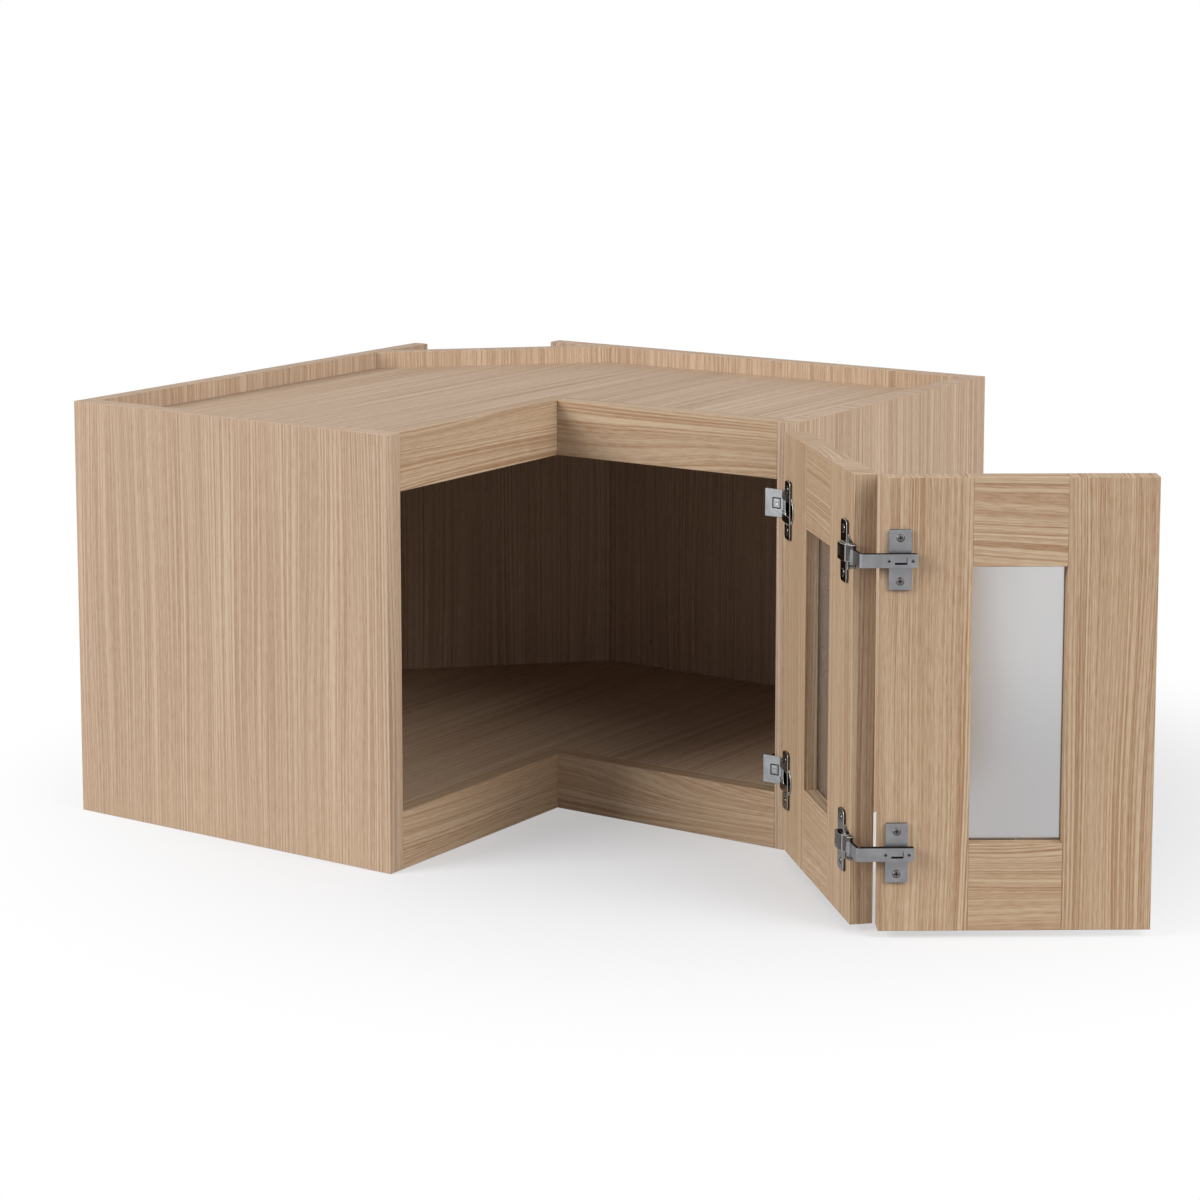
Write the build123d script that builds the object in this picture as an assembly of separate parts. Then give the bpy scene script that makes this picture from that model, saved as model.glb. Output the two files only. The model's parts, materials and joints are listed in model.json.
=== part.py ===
from build123d import *
import math
import os

# Corner wall cabinet with two glazed doors that fold on each other.
# Frame: millimetres, +Z up.  The origin is the corner where the two walls meet, at the
# cabinet's base.  The right wing runs along +X with its back on the wall y = 0, and the
# left wing runs along -Y with its back on the wall x = 0.  The doors stand open.

# ---------------------------------------------------------------- driving sizes: case
WING_LENGTH = 609.6          # each wing along its wall, from the wall corner
WING_DEPTH = 359.0           # each wing out from its wall
HEIGHT = 381.0
END_THICK = 18.0             # end panels
BACK_THICK = 16.0            # two back panels and the corner back panel
DECK_THICK = 16.0            # top and bottom panels
RAIL_THICK = 18.0
RAIL_HEIGHT = 50.8
TOP_RECESS = 16.0            # top panel's face below the rims of the panels round it
CORNER_CUT = 188.0           # where the corner panel's inner face meets each back panel
LEFT_BACK_START = 101.5      # left back panel's free end, from the wall corner
RIGHT_BACK_START = 112.0     # right back panel's free end, from the wall corner
HANG_HOLE_RADIUS = 2.5
HANG_SPACING = 304.8         # hanging holes along a back panel
HANG_INSET = 25.0            # hanging holes from the decks

# ---------------------------------------------------------------- driving sizes: joinery
DOWEL_RADIUS = 4.0
DOWEL_LENGTH = 30.0
DOWEL_IN_PANEL = 12.0        # share of a dowel that is in the piece it stands square to
DOWEL_CLEARANCE = 0.05
DOWELS_PER_EDGE = 3
DOWEL_END_INSET = 45.0
RAIL_DOWEL_SPACING = 25.4
BACK_SCREW_LENGTH = 40.0
BACK_SCREW_RADIUS = 2.0
BACK_SCREWS_PER_EDGE = 3
BACK_SCREW_INSET = 40.0

# ---------------------------------------------------------------- driving sizes: doors
DOOR_THICK = 19.05
DOOR_REVEAL = 6.35           # case that shows above and below a closed door
DOOR_GAP = 3.0               # closed door's back to the case's front
HINGE_SIDE_REVEAL = 12.0     # case that shows beside the closed hinged door
FREE_SIDE_REVEAL = 8.25      # case that shows beside the closed folding door
FOLD_LAP = 2.6               # closed folding door's edge over the hinged door's face
FOLD_CLEARANCE = 1.15        # gap in that lap
STILE_WIDTH = 72.0
DOOR_RAIL_HEIGHT = 71.6
TENON_LENGTH = 12.0
TENON_THICK = 6.0
TENON_SHOULDER = 10.0
TENON_CLEARANCE = 0.1
GLASS_THICK = 3.2
GLASS_SETBACK = 11.3         # glass behind the plane of the door's back
GLASS_CLEARANCE = 0.15       # glass to each side of its groove
GLASS_EDGE_GAP = 1.0         # glass to the bottom of its groove
GROOVE_DEPTH = 8.0

# ---------------------------------------------------------------- driving sizes: motion
OPEN_ANGLE = 135.0           # how far the hinged door stands open
FOLD_RELIEF = 10.0           # how far the open doors have unfolded from a right angle
PIN_OUT = 7.2                # cabinet hinge pin outside the hinged door's edge
PIN_IN = 3.06                # and inside the plane of its back
FOLD_PIN_OUT = 3.4           # fold hinge pin outside the hinged door's other edge
FOLD_PIN_RISE = 1.5          # and proud of the plane of its back

# ---------------------------------------------------------------- driving sizes: hinges
HINGE_INSET = 65.2           # hinge centres from a door's ends
CABINET_CUP_INSET = 17.0     # cup centre from the hinged door's hinge edge
FOLD_CUP_INSET = 21.5        # cup centre from the hinged door's other edge
CUP_RADIUS = 13.0
CUP_DEPTH = 11.0
CUP_WALL = 0.9
CUP_CLEARANCE = 0.1
RIM_OVERHANG = 0.8
FLANGE_WIDTH = 17.0
FLANGE_LENGTH = 51.0
FLANGE_THICK = 2.5
FLANGE_CORNER = 4.0
WING_THICK = 1.0
WING_ROOT = 14.0             # half width of a cup's wings where they leave the flange
CUP_SCREW_SPACING = 36.0
PIN_RADIUS = 1.5
PIN_CLEARANCE = 0.05
PIN_HEAD_RADIUS = 2.2
PIN_HEAD_THICK = 0.8
KNUCKLE_GAP = 0.4            # between neighbouring knuckles along a pin
CABINET_KNUCKLE_RADIUS = 2.6
CABINET_KNUCKLE_HALF = 5.6   # half length of the arm's knuckle
CABINET_CUP_KNUCKLE_END = 12.6
FOLD_KNUCKLE_RADIUS = 2.8
FOLD_KNUCKLE_HALF = 5.5
FOLD_CUP_KNUCKLE_END = 9.2
HOUSING_RISE = 6.0           # raised housing in the middle of a fold hinge cup
ARM_FRONT_WIDTH = 17.4       # arm's front plate, on the end panel's front edge
ARM_FRONT_HEIGHT = 24.4
ARM_FRONT_THICK = 1.05
ARM_FRONT_SEAT = 0.1
ARM_REACH = 11.0             # front plate inwards from the end panel's inner face
ARM_HEIGHT = 18.0
ARM_WALL = 1.5
ARM_LENGTH = 52.0
WINDOW_WIDTH = 8.4
WINDOW_HEIGHT = 9.8
WINDOW_GROOVE = 1.0
WINDOW_DEPTH = 0.75
MOUNT_PLATE_THICK = 3.0
MOUNT_PLATE_WIDTH = 18.0
MOUNT_PLATE_LENGTH = 39.0
MOUNT_PLATE_SETBACK = 27.0
MOUNT_SCREW_SPACING = 32.0
FOLD_PLATE_INSET = 5.2       # plate from the folding door's hinge edge
FOLD_PLATE_WIDTH = 18.0
FOLD_PLATE_LENGTH = 48.6
FOLD_PLATE_THICK = 2.4
FOLD_PLATE_CORNER = 1.8
FOLD_SCREW_SPACING = 34.8
SEAT_RISE = 6.6              # strap's underside from the folding door's back
STRAP_THICK = 1.6
STRAP_END = 27.6             # strap's end from the folding door's hinge edge
STRAP_BEND = 17.5            # strap's bend beyond that edge
STRAP_SCREW_SPACING = 18.8
SLOT_LENGTH = 9.8
SLOT_WIDTH = 1.6
WOOD_SCREW_RADIUS = 1.6
WOOD_SCREW_LENGTH = 13.0
SCREW_HEAD_RADIUS = 3.2
SCREW_HEAD_THICK = 1.5
SCREW_SEAT = 1.4             # underside of a sunk screw head above a door's back
SMALL_SCREW_RADIUS = 1.0
SMALL_HEAD_RADIUS = 1.5
SCREW_CLEARANCE = 0.05
CROSS_WIDTH = 0.8

# ---------------------------------------------------------------- worked-out places
INNER_END = WING_LENGTH - END_THICK
RAIL_BACK = WING_DEPTH - RAIL_THICK
TOP_FACE = HEIGHT - TOP_RECESS
FLOOR_FACE = RAIL_HEIGHT
TOP_UNDERSIDE = TOP_FACE - DECK_THICK
DOOR_FRONT_PLANE = WING_DEPTH + DOOR_GAP + DOOR_THICK
DOOR_BOTTOM = DOOR_REVEAL
DOOR_TOP = HEIGHT - DOOR_REVEAL
HINGED_WIDTH = WING_LENGTH - HINGE_SIDE_REVEAL - DOOR_FRONT_PLANE + FOLD_LAP
FOLDING_WIDTH = WING_LENGTH - FREE_SIDE_REVEAL - DOOR_FRONT_PLANE - FOLD_CLEARANCE
HINGE_HEIGHTS = {"upper": DOOR_TOP - HINGE_INSET, "lower": DOOR_BOTTOM + HINGE_INSET}
SIGHT_BOTTOM = DOOR_BOTTOM + DOOR_RAIL_HEIGHT
SIGHT_TOP = DOOR_TOP - DOOR_RAIL_HEIGHT
MAIN_PIN = (WING_LENGTH - HINGE_SIDE_REVEAL + PIN_OUT, -(WING_DEPTH + DOOR_GAP + PIN_IN))
FOLD_PIN = (HINGED_WIDTH + FOLD_PIN_OUT, -FOLD_PIN_RISE)


def turned_about(point, angle):
    """Return the move that turns by angle degrees about the upright line through point."""
    x, y = point
    return Pos(x, y, 0) * Rot(0, 0, angle) * Pos(-x, -y, 0)


# A door is drawn in its own frame: x from its hinge edge to its other edge, y from its back
# (y = 0) to its outer face (y = DOOR_THICK), so hinge pieces on its back have negative y.
CLOSED_HINGED = Pos(WING_LENGTH - HINGE_SIDE_REVEAL, -(WING_DEPTH + DOOR_GAP), 0) * Rot(0, 0, 180)
CLOSED_FOLDING = (
    Pos(HINGED_WIDTH - FOLD_LAP + DOOR_THICK, DOOR_THICK + FOLD_CLEARANCE, 0) * Rot(0, 0, 90)
)
HINGED_PLACE = turned_about(MAIN_PIN, OPEN_ANGLE) * CLOSED_HINGED
FOLDING_PLACE = HINGED_PLACE * turned_about(FOLD_PIN, -FOLD_RELIEF) * CLOSED_FOLDING


# ---------------------------------------------------------------- plain shapes
def block(x0, x1, y0, y1, z0, z1):
    """Return a box between two corners."""
    centre = Pos((x0 + x1) / 2, (y0 + y1) / 2, (z0 + z1) / 2)
    return centre * Box(x1 - x0, y1 - y0, z1 - z0)


def prism(points, z0, z1):
    """Return an upright prism on a plan outline."""
    outline = make_face(Polyline(*points, close=True))
    return Pos(0, 0, z0) * extrude(outline, z1 - z0, dir=(0, 0, 1))


def upright_rod(x, y, radius, z0, z1):
    """Return an upright cylinder."""
    return Pos(x, y, (z0 + z1) / 2) * Cylinder(radius, z1 - z0)


def rod_x(radius, x0, x1, y, z):
    """Return a cylinder along X."""
    return Pos((x0 + x1) / 2, y, z) * Rot(0, 90, 0) * Cylinder(radius, x1 - x0)


def rod_y(radius, x, y0, y1, z):
    """Return a cylinder along Y."""
    return Pos(x, (y0 + y1) / 2, z) * Rot(90, 0, 0) * Cylinder(radius, y1 - y0)


def spread(start, end, count):
    """Return count places evenly spread from start to end."""
    step = (end - start) / (count - 1)
    return [start + step * index for index in range(count)]


def write(name, shape, place=Location()):
    """Write one piece, or one group of like pieces, to its own file."""
    pieces = shape if isinstance(shape, list) else [shape]
    placed = [place * piece for piece in pieces]
    export_step(placed[0] if len(placed) == 1 else Compound(children=placed), f"parts/{name}.step")


# ---------------------------------------------------------------- fasteners
def screw(radius, length, head_radius, head_thick):
    """Return a cross-head screw: shank along -Z from the head's underside at z = 0."""
    head = Pos(0, 0, head_thick / 2) * Cylinder(head_radius, head_thick)
    head = chamfer(head.edges().group_by(Axis.Z)[-1], head_thick * 0.4)
    shank = Pos(0, 0, -length / 2) * Cylinder(radius, length)
    tip = chamfer(shank.edges().group_by(Axis.Z)[0], radius * 0.6)
    reach = head_radius * 1.1
    cross_depth = head_thick * 0.6
    bar = Pos(0, 0, head_thick - cross_depth / 2) * Box(reach, CROSS_WIDTH, cross_depth)
    return head + tip - bar - Rot(0, 0, 90) * bar


def door_screw(x, z):
    """Place a wood screw in a door's back, with its head sunk in the metal on the wood."""
    return Pos(x, -SCREW_SEAT, z) * Rot(90, 0, 0) * screw(
        WOOD_SCREW_RADIUS, WOOD_SCREW_LENGTH, SCREW_HEAD_RADIUS, SCREW_HEAD_THICK
    )


def door_screw_hole(x, z):
    """Return the hole that a wood screw in a door's back takes, from its head's seat inwards."""
    depth = WOOD_SCREW_LENGTH - SCREW_SEAT + SCREW_CLEARANCE
    return rod_y(WOOD_SCREW_RADIUS + SCREW_CLEARANCE, x, -SCREW_SEAT, depth, z)


def sunk_screw_hole(x, z):
    """Return the stepped hole for that screw through metal that lies on the wood."""
    head = rod_y(SCREW_HEAD_RADIUS + SCREW_CLEARANCE, x, -SCREW_SEAT - HOUSING_RISE, -SCREW_SEAT, z)
    return head + rod_y(WOOD_SCREW_RADIUS + SCREW_CLEARANCE, x, -SCREW_SEAT, 1, z)


def dowel_x(x, y, z, direction):
    """Return a dowel and its hole, lying along X from a panel's face at x."""
    inner = x + direction * (DOWEL_LENGTH - DOWEL_IN_PANEL)
    outer = x - direction * DOWEL_IN_PANEL
    low, high = min(inner, outer), max(inner, outer)
    hole_radius = DOWEL_RADIUS + DOWEL_CLEARANCE
    pin = rod_x(DOWEL_RADIUS, low, high, y, z)
    return pin, rod_x(hole_radius, low - DOWEL_CLEARANCE, high + DOWEL_CLEARANCE, y, z)


def dowel_y(x, y, z, direction):
    """Return a dowel and its hole, lying along Y from a panel's face at y."""
    inner = y + direction * (DOWEL_LENGTH - DOWEL_IN_PANEL)
    outer = y - direction * DOWEL_IN_PANEL
    low, high = min(inner, outer), max(inner, outer)
    hole_radius = DOWEL_RADIUS + DOWEL_CLEARANCE
    pin = rod_y(DOWEL_RADIUS, x, low, high, z)
    return pin, rod_y(hole_radius, x, low - DOWEL_CLEARANCE, high + DOWEL_CLEARANCE, z)


def deck_dowels():
    """Return the dowels between the end panels and the decks, each with its hole."""
    pairs = []
    places = spread(BACK_THICK + DOWEL_END_INSET, RAIL_BACK - DOWEL_END_INSET, DOWELS_PER_EDGE)
    for z in (FLOOR_FACE - DECK_THICK / 2, TOP_FACE - DECK_THICK / 2):
        for place in places:
            pairs.append(dowel_y(place, -INNER_END, z, 1))
            pairs.append(dowel_x(INNER_END, -place, z, -1))
    return pairs


def rail_dowels():
    """Return the dowels at the rails' ends, each with its hole."""
    pairs = []
    middle = WING_DEPTH - RAIL_THICK / 2
    for base in (0, HEIGHT - RAIL_HEIGHT):
        centre = base + RAIL_HEIGHT / 2
        for z in (centre - RAIL_DOWEL_SPACING / 2, centre + RAIL_DOWEL_SPACING / 2):
            pairs.append(dowel_y(middle, -INNER_END, z, 1))
            pairs.append(dowel_x(INNER_END, -middle, z, -1))
            pairs.append(dowel_x(WING_DEPTH, -middle, z, 1))
    return pairs


def back_screw_places():
    """Return the back panel screws as (x, y, z, turn), with turn the way in from the wall."""
    places = []
    heights = (FLOOR_FACE - DECK_THICK / 2, TOP_FACE - DECK_THICK / 2)
    run = spread(CORNER_CUT + BACK_SCREW_INSET, INNER_END - BACK_SCREW_INSET, BACK_SCREWS_PER_EDGE)
    for z in heights:
        places += [(0, -along, z, 0) for along in run]
        places += [(along, 0, z, -90) for along in run]
        slope = BACK_THICK + CORNER_CUT - BACK_THICK * math.sqrt(2)
        for share in (0.35, 0.65):
            x = BACK_THICK + (slope - 2 * BACK_THICK) * share
            places.append((x, x - slope, z, -45))
    return places


def countersink():
    """Return the cone of a countersunk head, from its rim at x = 0 towards +X."""
    cone = Cone(BACK_SCREW_RADIUS, BACK_SCREW_RADIUS * 2, BACK_SCREW_RADIUS)
    return Pos(BACK_SCREW_RADIUS / 2, 0, 0) * Rot(0, -90, 0) * cone


def back_screws():
    """Return the countersunk screws through the back panels into the decks."""
    body = countersink() + rod_x(BACK_SCREW_RADIUS, 0, BACK_SCREW_LENGTH, 0, 0)
    socket = block(0, BACK_SCREW_RADIUS * 0.6, -CROSS_WIDTH / 2, CROSS_WIDTH / 2, -2, 2)
    body = body - socket - Rot(90, 0, 0) * socket
    return [Pos(x, y, z) * Rot(0, 0, turn) * body for x, y, z, turn in back_screw_places()]


def back_screw_holes():
    """Return the holes that the back panel screws take, with their countersinks."""
    radius = BACK_SCREW_RADIUS + SCREW_CLEARANCE
    cut = rod_x(radius, 0, BACK_SCREW_LENGTH + SCREW_CLEARANCE, 0, 0)
    cut += Pos(SCREW_CLEARANCE, 0, 0) * countersink()
    cut += rod_x(BACK_SCREW_RADIUS * 2, -1, SCREW_CLEARANCE, 0, 0)
    return [Pos(x, y, z) * Rot(0, 0, turn) * cut for x, y, z, turn in back_screw_places()]


# ---------------------------------------------------------------- case
def hang_holes_left():
    """Return the hanging holes through the left back panel."""
    centre = -(INNER_END + CORNER_CUT) / 2
    return [
        rod_x(HANG_HOLE_RADIUS, -1, BACK_THICK + 1, centre + side * HANG_SPACING / 2, z)
        for side in (-1, 1)
        for z in (FLOOR_FACE + HANG_INSET, TOP_UNDERSIDE - HANG_INSET)
    ]


def hang_holes_right():
    """Return the hanging holes through the right back panel."""
    centre = (INNER_END + CORNER_CUT) / 2
    return [
        rod_y(HANG_HOLE_RADIUS, centre + side * HANG_SPACING / 2, -BACK_THICK - 1, 1, z)
        for side in (-1, 1)
        for z in (FLOOR_FACE + HANG_INSET, TOP_UNDERSIDE - HANG_INSET)
    ]


def deck(z1):
    """Return a deck: the plan between the panels, whose inner corner is cut off slantwise."""
    outline = [
        (BACK_THICK, -INNER_END),
        (RAIL_BACK, -INNER_END),
        (RAIL_BACK, -RAIL_BACK),
        (INNER_END, -RAIL_BACK),
        (INNER_END, -BACK_THICK),
        (CORNER_CUT, -BACK_THICK),
        (BACK_THICK, -CORNER_CUT),
    ]
    return prism(outline, z1 - DECK_THICK, z1)


def corner_panel():
    """Return the slanting back panel, mitred to lie against both back panels."""
    outer = CORNER_CUT - BACK_THICK * math.sqrt(2)
    outline = [
        (BACK_THICK, -CORNER_CUT),
        (CORNER_CUT, -BACK_THICK),
        (outer, -BACK_THICK),
        (BACK_THICK, -outer),
    ]
    return prism(outline, 0, HEIGHT)


def case_panels():
    """Return the case's panels and rails by name, before any hole is made."""
    rail_zones = {"bottom": (0, RAIL_HEIGHT), "top": (HEIGHT - RAIL_HEIGHT, HEIGHT)}
    panels = {
        "left_end_panel": block(0, WING_DEPTH, -WING_LENGTH, -INNER_END, 0, HEIGHT),
        "right_end_panel": block(INNER_END, WING_LENGTH, -WING_DEPTH, 0, 0, HEIGHT),
        "left_back_panel": block(0, BACK_THICK, -INNER_END, -LEFT_BACK_START, 0, HEIGHT),
        "right_back_panel": block(RIGHT_BACK_START, INNER_END, -BACK_THICK, 0, 0, HEIGHT),
        "corner_back_panel": corner_panel(),
        "top_panel": deck(TOP_FACE),
        "bottom_panel": deck(FLOOR_FACE),
    }
    for zone, (z0, z1) in rail_zones.items():
        panels[f"{zone}_rail_left"] = block(RAIL_BACK, WING_DEPTH, -INNER_END, -RAIL_BACK, z0, z1)
        panels[f"{zone}_rail_right"] = block(WING_DEPTH, INNER_END, -WING_DEPTH, -RAIL_BACK, z0, z1)
    return panels


def mount_screw_holes():
    """Return the holes for the screws of the cabinet hinges' mounting plates."""
    y = mount_plate_middle()
    depth = INNER_END + WOOD_SCREW_LENGTH - MOUNT_PLATE_THICK + DOWEL_CLEARANCE
    radius = WOOD_SCREW_RADIUS + SCREW_CLEARANCE
    return [
        rod_x(radius, INNER_END - 1, depth, y, centre + side * MOUNT_SCREW_SPACING / 2)
        for centre in HINGE_HEIGHTS.values()
        for side in (-1, 1)
    ]


def make_case():
    """Write the case: panels and rails with their holes, dowels and back screws."""
    panels = case_panels()
    decks_and_ends = ["left_end_panel", "right_end_panel", "top_panel", "bottom_panel"]
    rails = [name for name in panels if "rail" in name]
    deck_pairs = deck_dowels()
    rail_pairs = rail_dowels()
    deck_cuts = [hole for _, hole in deck_pairs]
    rail_cuts = [hole for _, hole in rail_pairs]
    screw_cuts = back_screw_holes()
    cuts = {name: [] for name in panels}
    for name in decks_and_ends:
        cuts[name] += deck_cuts
    for name in rails + ["left_end_panel", "right_end_panel"]:
        cuts[name] += rail_cuts
    for name in panels:
        if "back" in name or name in ("top_panel", "bottom_panel"):
            cuts[name] += screw_cuts
    cuts["left_back_panel"] += hang_holes_left()
    cuts["right_back_panel"] += hang_holes_right()
    cuts["right_end_panel"] += mount_screw_holes()
    for name, panel in panels.items():
        write(name, panel - cuts[name])
    write("deck_dowels", [pin for pin, _ in deck_pairs])
    write("rail_dowels", [pin for pin, _ in rail_pairs])
    write("back_panel_screws", back_screws())


# ---------------------------------------------------------------- doors
def groove_depths():
    """Return the two sides of the glass groove across the door's thickness."""
    return GLASS_SETBACK - GLASS_CLEARANCE, GLASS_SETBACK + GLASS_THICK + GLASS_CLEARANCE


def stile(x0, x1, glass_side):
    """Return a door stile with its glass groove and its two mortises."""
    body = block(x0, x1, 0, DOOR_THICK, DOOR_BOTTOM, DOOR_TOP)
    edge = x1 if glass_side > 0 else x0
    low, high = sorted((edge, edge - glass_side * GROOVE_DEPTH))
    body -= block(low, high, *groove_depths(), SIGHT_BOTTOM - GROOVE_DEPTH, SIGHT_TOP + GROOVE_DEPTH)
    low, high = sorted((edge, edge - glass_side * (TENON_LENGTH + TENON_CLEARANCE)))
    for z0, z1 in tenon_heights():
        y0, y1 = tenon_depths(TENON_CLEARANCE)
        body -= block(low, high, y0, y1, z0 - TENON_CLEARANCE, z1 + TENON_CLEARANCE)
    return body


def tenon_heights():
    """Return the heights that the bottom and top rails' tenons span."""
    return (
        (DOOR_BOTTOM + TENON_SHOULDER, SIGHT_BOTTOM - TENON_SHOULDER),
        (SIGHT_TOP + TENON_SHOULDER, DOOR_TOP - TENON_SHOULDER),
    )


def tenon_depths(clearance):
    """Return the tenon's two faces across the door's thickness, widened by clearance."""
    middle = DOOR_THICK / 2
    return middle - TENON_THICK / 2 - clearance, middle + TENON_THICK / 2 + clearance


def door_rail(width, at_top):
    """Return a door rail between the stiles, with its glass groove and two tenons."""
    x0, x1 = STILE_WIDTH, width - STILE_WIDTH
    z0, z1 = (SIGHT_TOP, DOOR_TOP) if at_top else (DOOR_BOTTOM, SIGHT_BOTTOM)
    groove_z = (z0, z0 + GROOVE_DEPTH) if at_top else (z1 - GROOVE_DEPTH, z1)
    body = block(x0, x1, 0, DOOR_THICK, z0, z1) - block(x0, x1, *groove_depths(), *groove_z)
    tenon_z = tenon_heights()[1 if at_top else 0]
    return body + block(x0 - TENON_LENGTH, x1 + TENON_LENGTH, *tenon_depths(0), *tenon_z)


def pane(width):
    """Return a door's glass pane, held in the grooves of its frame."""
    into = GROOVE_DEPTH - GLASS_EDGE_GAP
    x0, x1 = STILE_WIDTH - into, width - STILE_WIDTH + into
    y0, y1 = GLASS_SETBACK, GLASS_SETBACK + GLASS_THICK
    return block(x0, x1, y0, y1, SIGHT_BOTTOM - into, SIGHT_TOP + into)


def cup_bore(x, centre):
    """Return the cut for a hinge cup in a door's back, with its two screw holes."""
    bore = rod_y(CUP_RADIUS + CUP_CLEARANCE, x, -1, CUP_DEPTH + CUP_CLEARANCE, centre)
    for side in (-1, 1):
        bore += door_screw_hole(x, centre + side * CUP_SCREW_SPACING / 2)
    return bore


def fold_plate_middle():
    """Return the fold hinge plate's middle line from the folding door's hinge edge."""
    return FOLD_PLATE_INSET + FOLD_PLATE_WIDTH / 2


def make_door(name, width, stiles, place):
    """Write one door's frame and glass; stiles gives each stile's name and its cuts."""
    (near, near_cuts), (far, far_cuts) = stiles
    near_stile = stile(0, STILE_WIDTH, 1)
    far_stile = stile(width - STILE_WIDTH, width, -1)
    write(f"{name}_{near}", near_stile - near_cuts if near_cuts else near_stile, place)
    write(f"{name}_{far}", far_stile - far_cuts if far_cuts else far_stile, place)
    write(f"{name}_bottom_rail", door_rail(width, False), place)
    write(f"{name}_top_rail", door_rail(width, True), place)
    write(f"{name}_glass", pane(width), place)


def make_doors():
    """Write both doors."""
    far_x = HINGED_WIDTH - FOLD_CUP_INSET
    near_cuts = [cup_bore(CABINET_CUP_INSET, z) for z in HINGE_HEIGHTS.values()]
    far_cuts = [cup_bore(far_x, z) for z in HINGE_HEIGHTS.values()]
    stiles = (("hinge_stile", near_cuts), ("fold_stile", far_cuts))
    make_door("hinged_door", HINGED_WIDTH, stiles, HINGED_PLACE)
    plate_cuts = [
        door_screw_hole(fold_plate_middle(), centre + side * FOLD_SCREW_SPACING / 2)
        for centre in HINGE_HEIGHTS.values()
        for side in (-1, 1)
    ]
    stiles = (("fold_stile", plate_cuts), ("free_stile", []))
    make_door("folding_door", FOLDING_WIDTH, stiles, FOLDING_PLACE)


# ---------------------------------------------------------------- hinge cups
# A cup is drawn about the middle of its bore: x towards its pin, y out of the wood,
# z up.  The wood's face is y = 0.
def flange():
    """Return the cup's long flange with rounded corners and its two screw holes."""
    half_width, half_length = FLANGE_WIDTH / 2, FLANGE_LENGTH / 2
    plate = block(-half_width, half_width, 0, FLANGE_THICK, -half_length, half_length)
    plate = fillet(plate.edges().filter_by(Axis.Y), FLANGE_CORNER)
    for side in (-1, 1):
        plate -= Rot(180, 0, 0) * sunk_screw_hole(0, side * CUP_SCREW_SPACING / 2)
    return plate


def cup_shell():
    """Return the open cup that sits in the bore, with its rim on the wood."""
    shell = rod_y(CUP_RADIUS, 0, -CUP_DEPTH, WING_THICK, 0)
    rim = rod_y(CUP_RADIUS + RIM_OVERHANG, 0, 0, WING_THICK, 0)
    return shell + rim - rod_y(CUP_RADIUS - CUP_WALL, 0, -CUP_DEPTH + CUP_WALL, WING_THICK + 1, 0)


def wing_profile(pin_x, pin_y, edge, knuckle_radius):
    """Return a wing's plan: a strip along the wood that passes its edge and turns to the pin."""
    drop = pin_y - knuckle_radius * 0.4
    return [
        (0, 0),
        (edge, 0),
        (pin_x - knuckle_radius * 0.7, drop + knuckle_radius * 0.6),
        (pin_x, pin_y),
        (pin_x + knuckle_radius * 0.8, pin_y + knuckle_radius * 0.5),
        (pin_x - knuckle_radius * 0.4, max(WING_THICK, pin_y + knuckle_radius * 0.8)),
        (edge, WING_THICK),
        (0, WING_THICK),
    ]


def wing_taper(pin_x, tip_half):
    """Return the cut that narrows both wings from the flange to the pin."""
    half_width = FLANGE_WIDTH / 2
    reach = pin_x + FOLD_KNUCKLE_RADIUS + 1
    tall = FLANGE_LENGTH
    cuts = []
    for side in (-1, 1):
        outline = [
            (half_width, side * WING_ROOT),
            (pin_x - FOLD_KNUCKLE_RADIUS, side * tip_half),
            (reach, side * tip_half),
            (reach, side * tall),
            (half_width, side * tall),
        ]
        face = Plane.XZ * make_face(Polyline(*outline, close=True))
        cuts.append(extrude(face, CUP_DEPTH, both=True))
    return cuts


def hinge_cup(pin_x, pin_y, edge, knuckle_radius, inner_end, outer_end, wing_edge):
    """Return a cup with its flange, two wings and the knuckles at their tips.

    inner_end and outer_end are the heights between which each wing's knuckle lies.
    """
    profile = wing_profile(pin_x, pin_y, edge + wing_edge, knuckle_radius)
    wings = None
    for side in (-1, 1):
        z0, z1 = sorted((side * inner_end, side * WING_ROOT))
        wing = prism(profile, z0, z1)
        k0, k1 = sorted((side * inner_end, side * outer_end))
        wing += upright_rod(pin_x, pin_y, knuckle_radius, k0, k1)
        wings = wing if wings is None else wings + wing
    for cut in wing_taper(pin_x, outer_end):
        wings -= cut
    top = FLANGE_THICK + 1
    mouth = block(-FLANGE_WIDTH / 2 + CUP_WALL, FLANGE_WIDTH, WING_THICK, top, -inner_end, inner_end)
    throat = block(-CUP_RADIUS / 2, CUP_RADIUS, -CUP_DEPTH / 2, top, -inner_end, inner_end)
    body = flange() - throat - mouth
    body = body + cup_shell() + wings
    bore = PIN_RADIUS + PIN_CLEARANCE
    return body - upright_rod(pin_x, pin_y, bore, -FLANGE_LENGTH, FLANGE_LENGTH)


def cabinet_cup():
    """Return a cabinet hinge's cup, whose flange leaves room for the arm's front plate."""
    pin_x, pin_y = CABINET_CUP_INSET + PIN_OUT, -PIN_IN
    inner = CABINET_KNUCKLE_HALF + KNUCKLE_GAP
    body = hinge_cup(
        pin_x, pin_y, CABINET_CUP_INSET, CABINET_KNUCKLE_RADIUS, inner, CABINET_CUP_KNUCKLE_END, 2.5
    )
    room = ARM_FRONT_HEIGHT / 2 + KNUCKLE_GAP
    relief = block(-FLANGE_WIDTH / 4, FLANGE_WIDTH, WING_THICK, FLANGE_THICK + 1, -room, room)
    return body - relief


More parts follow.
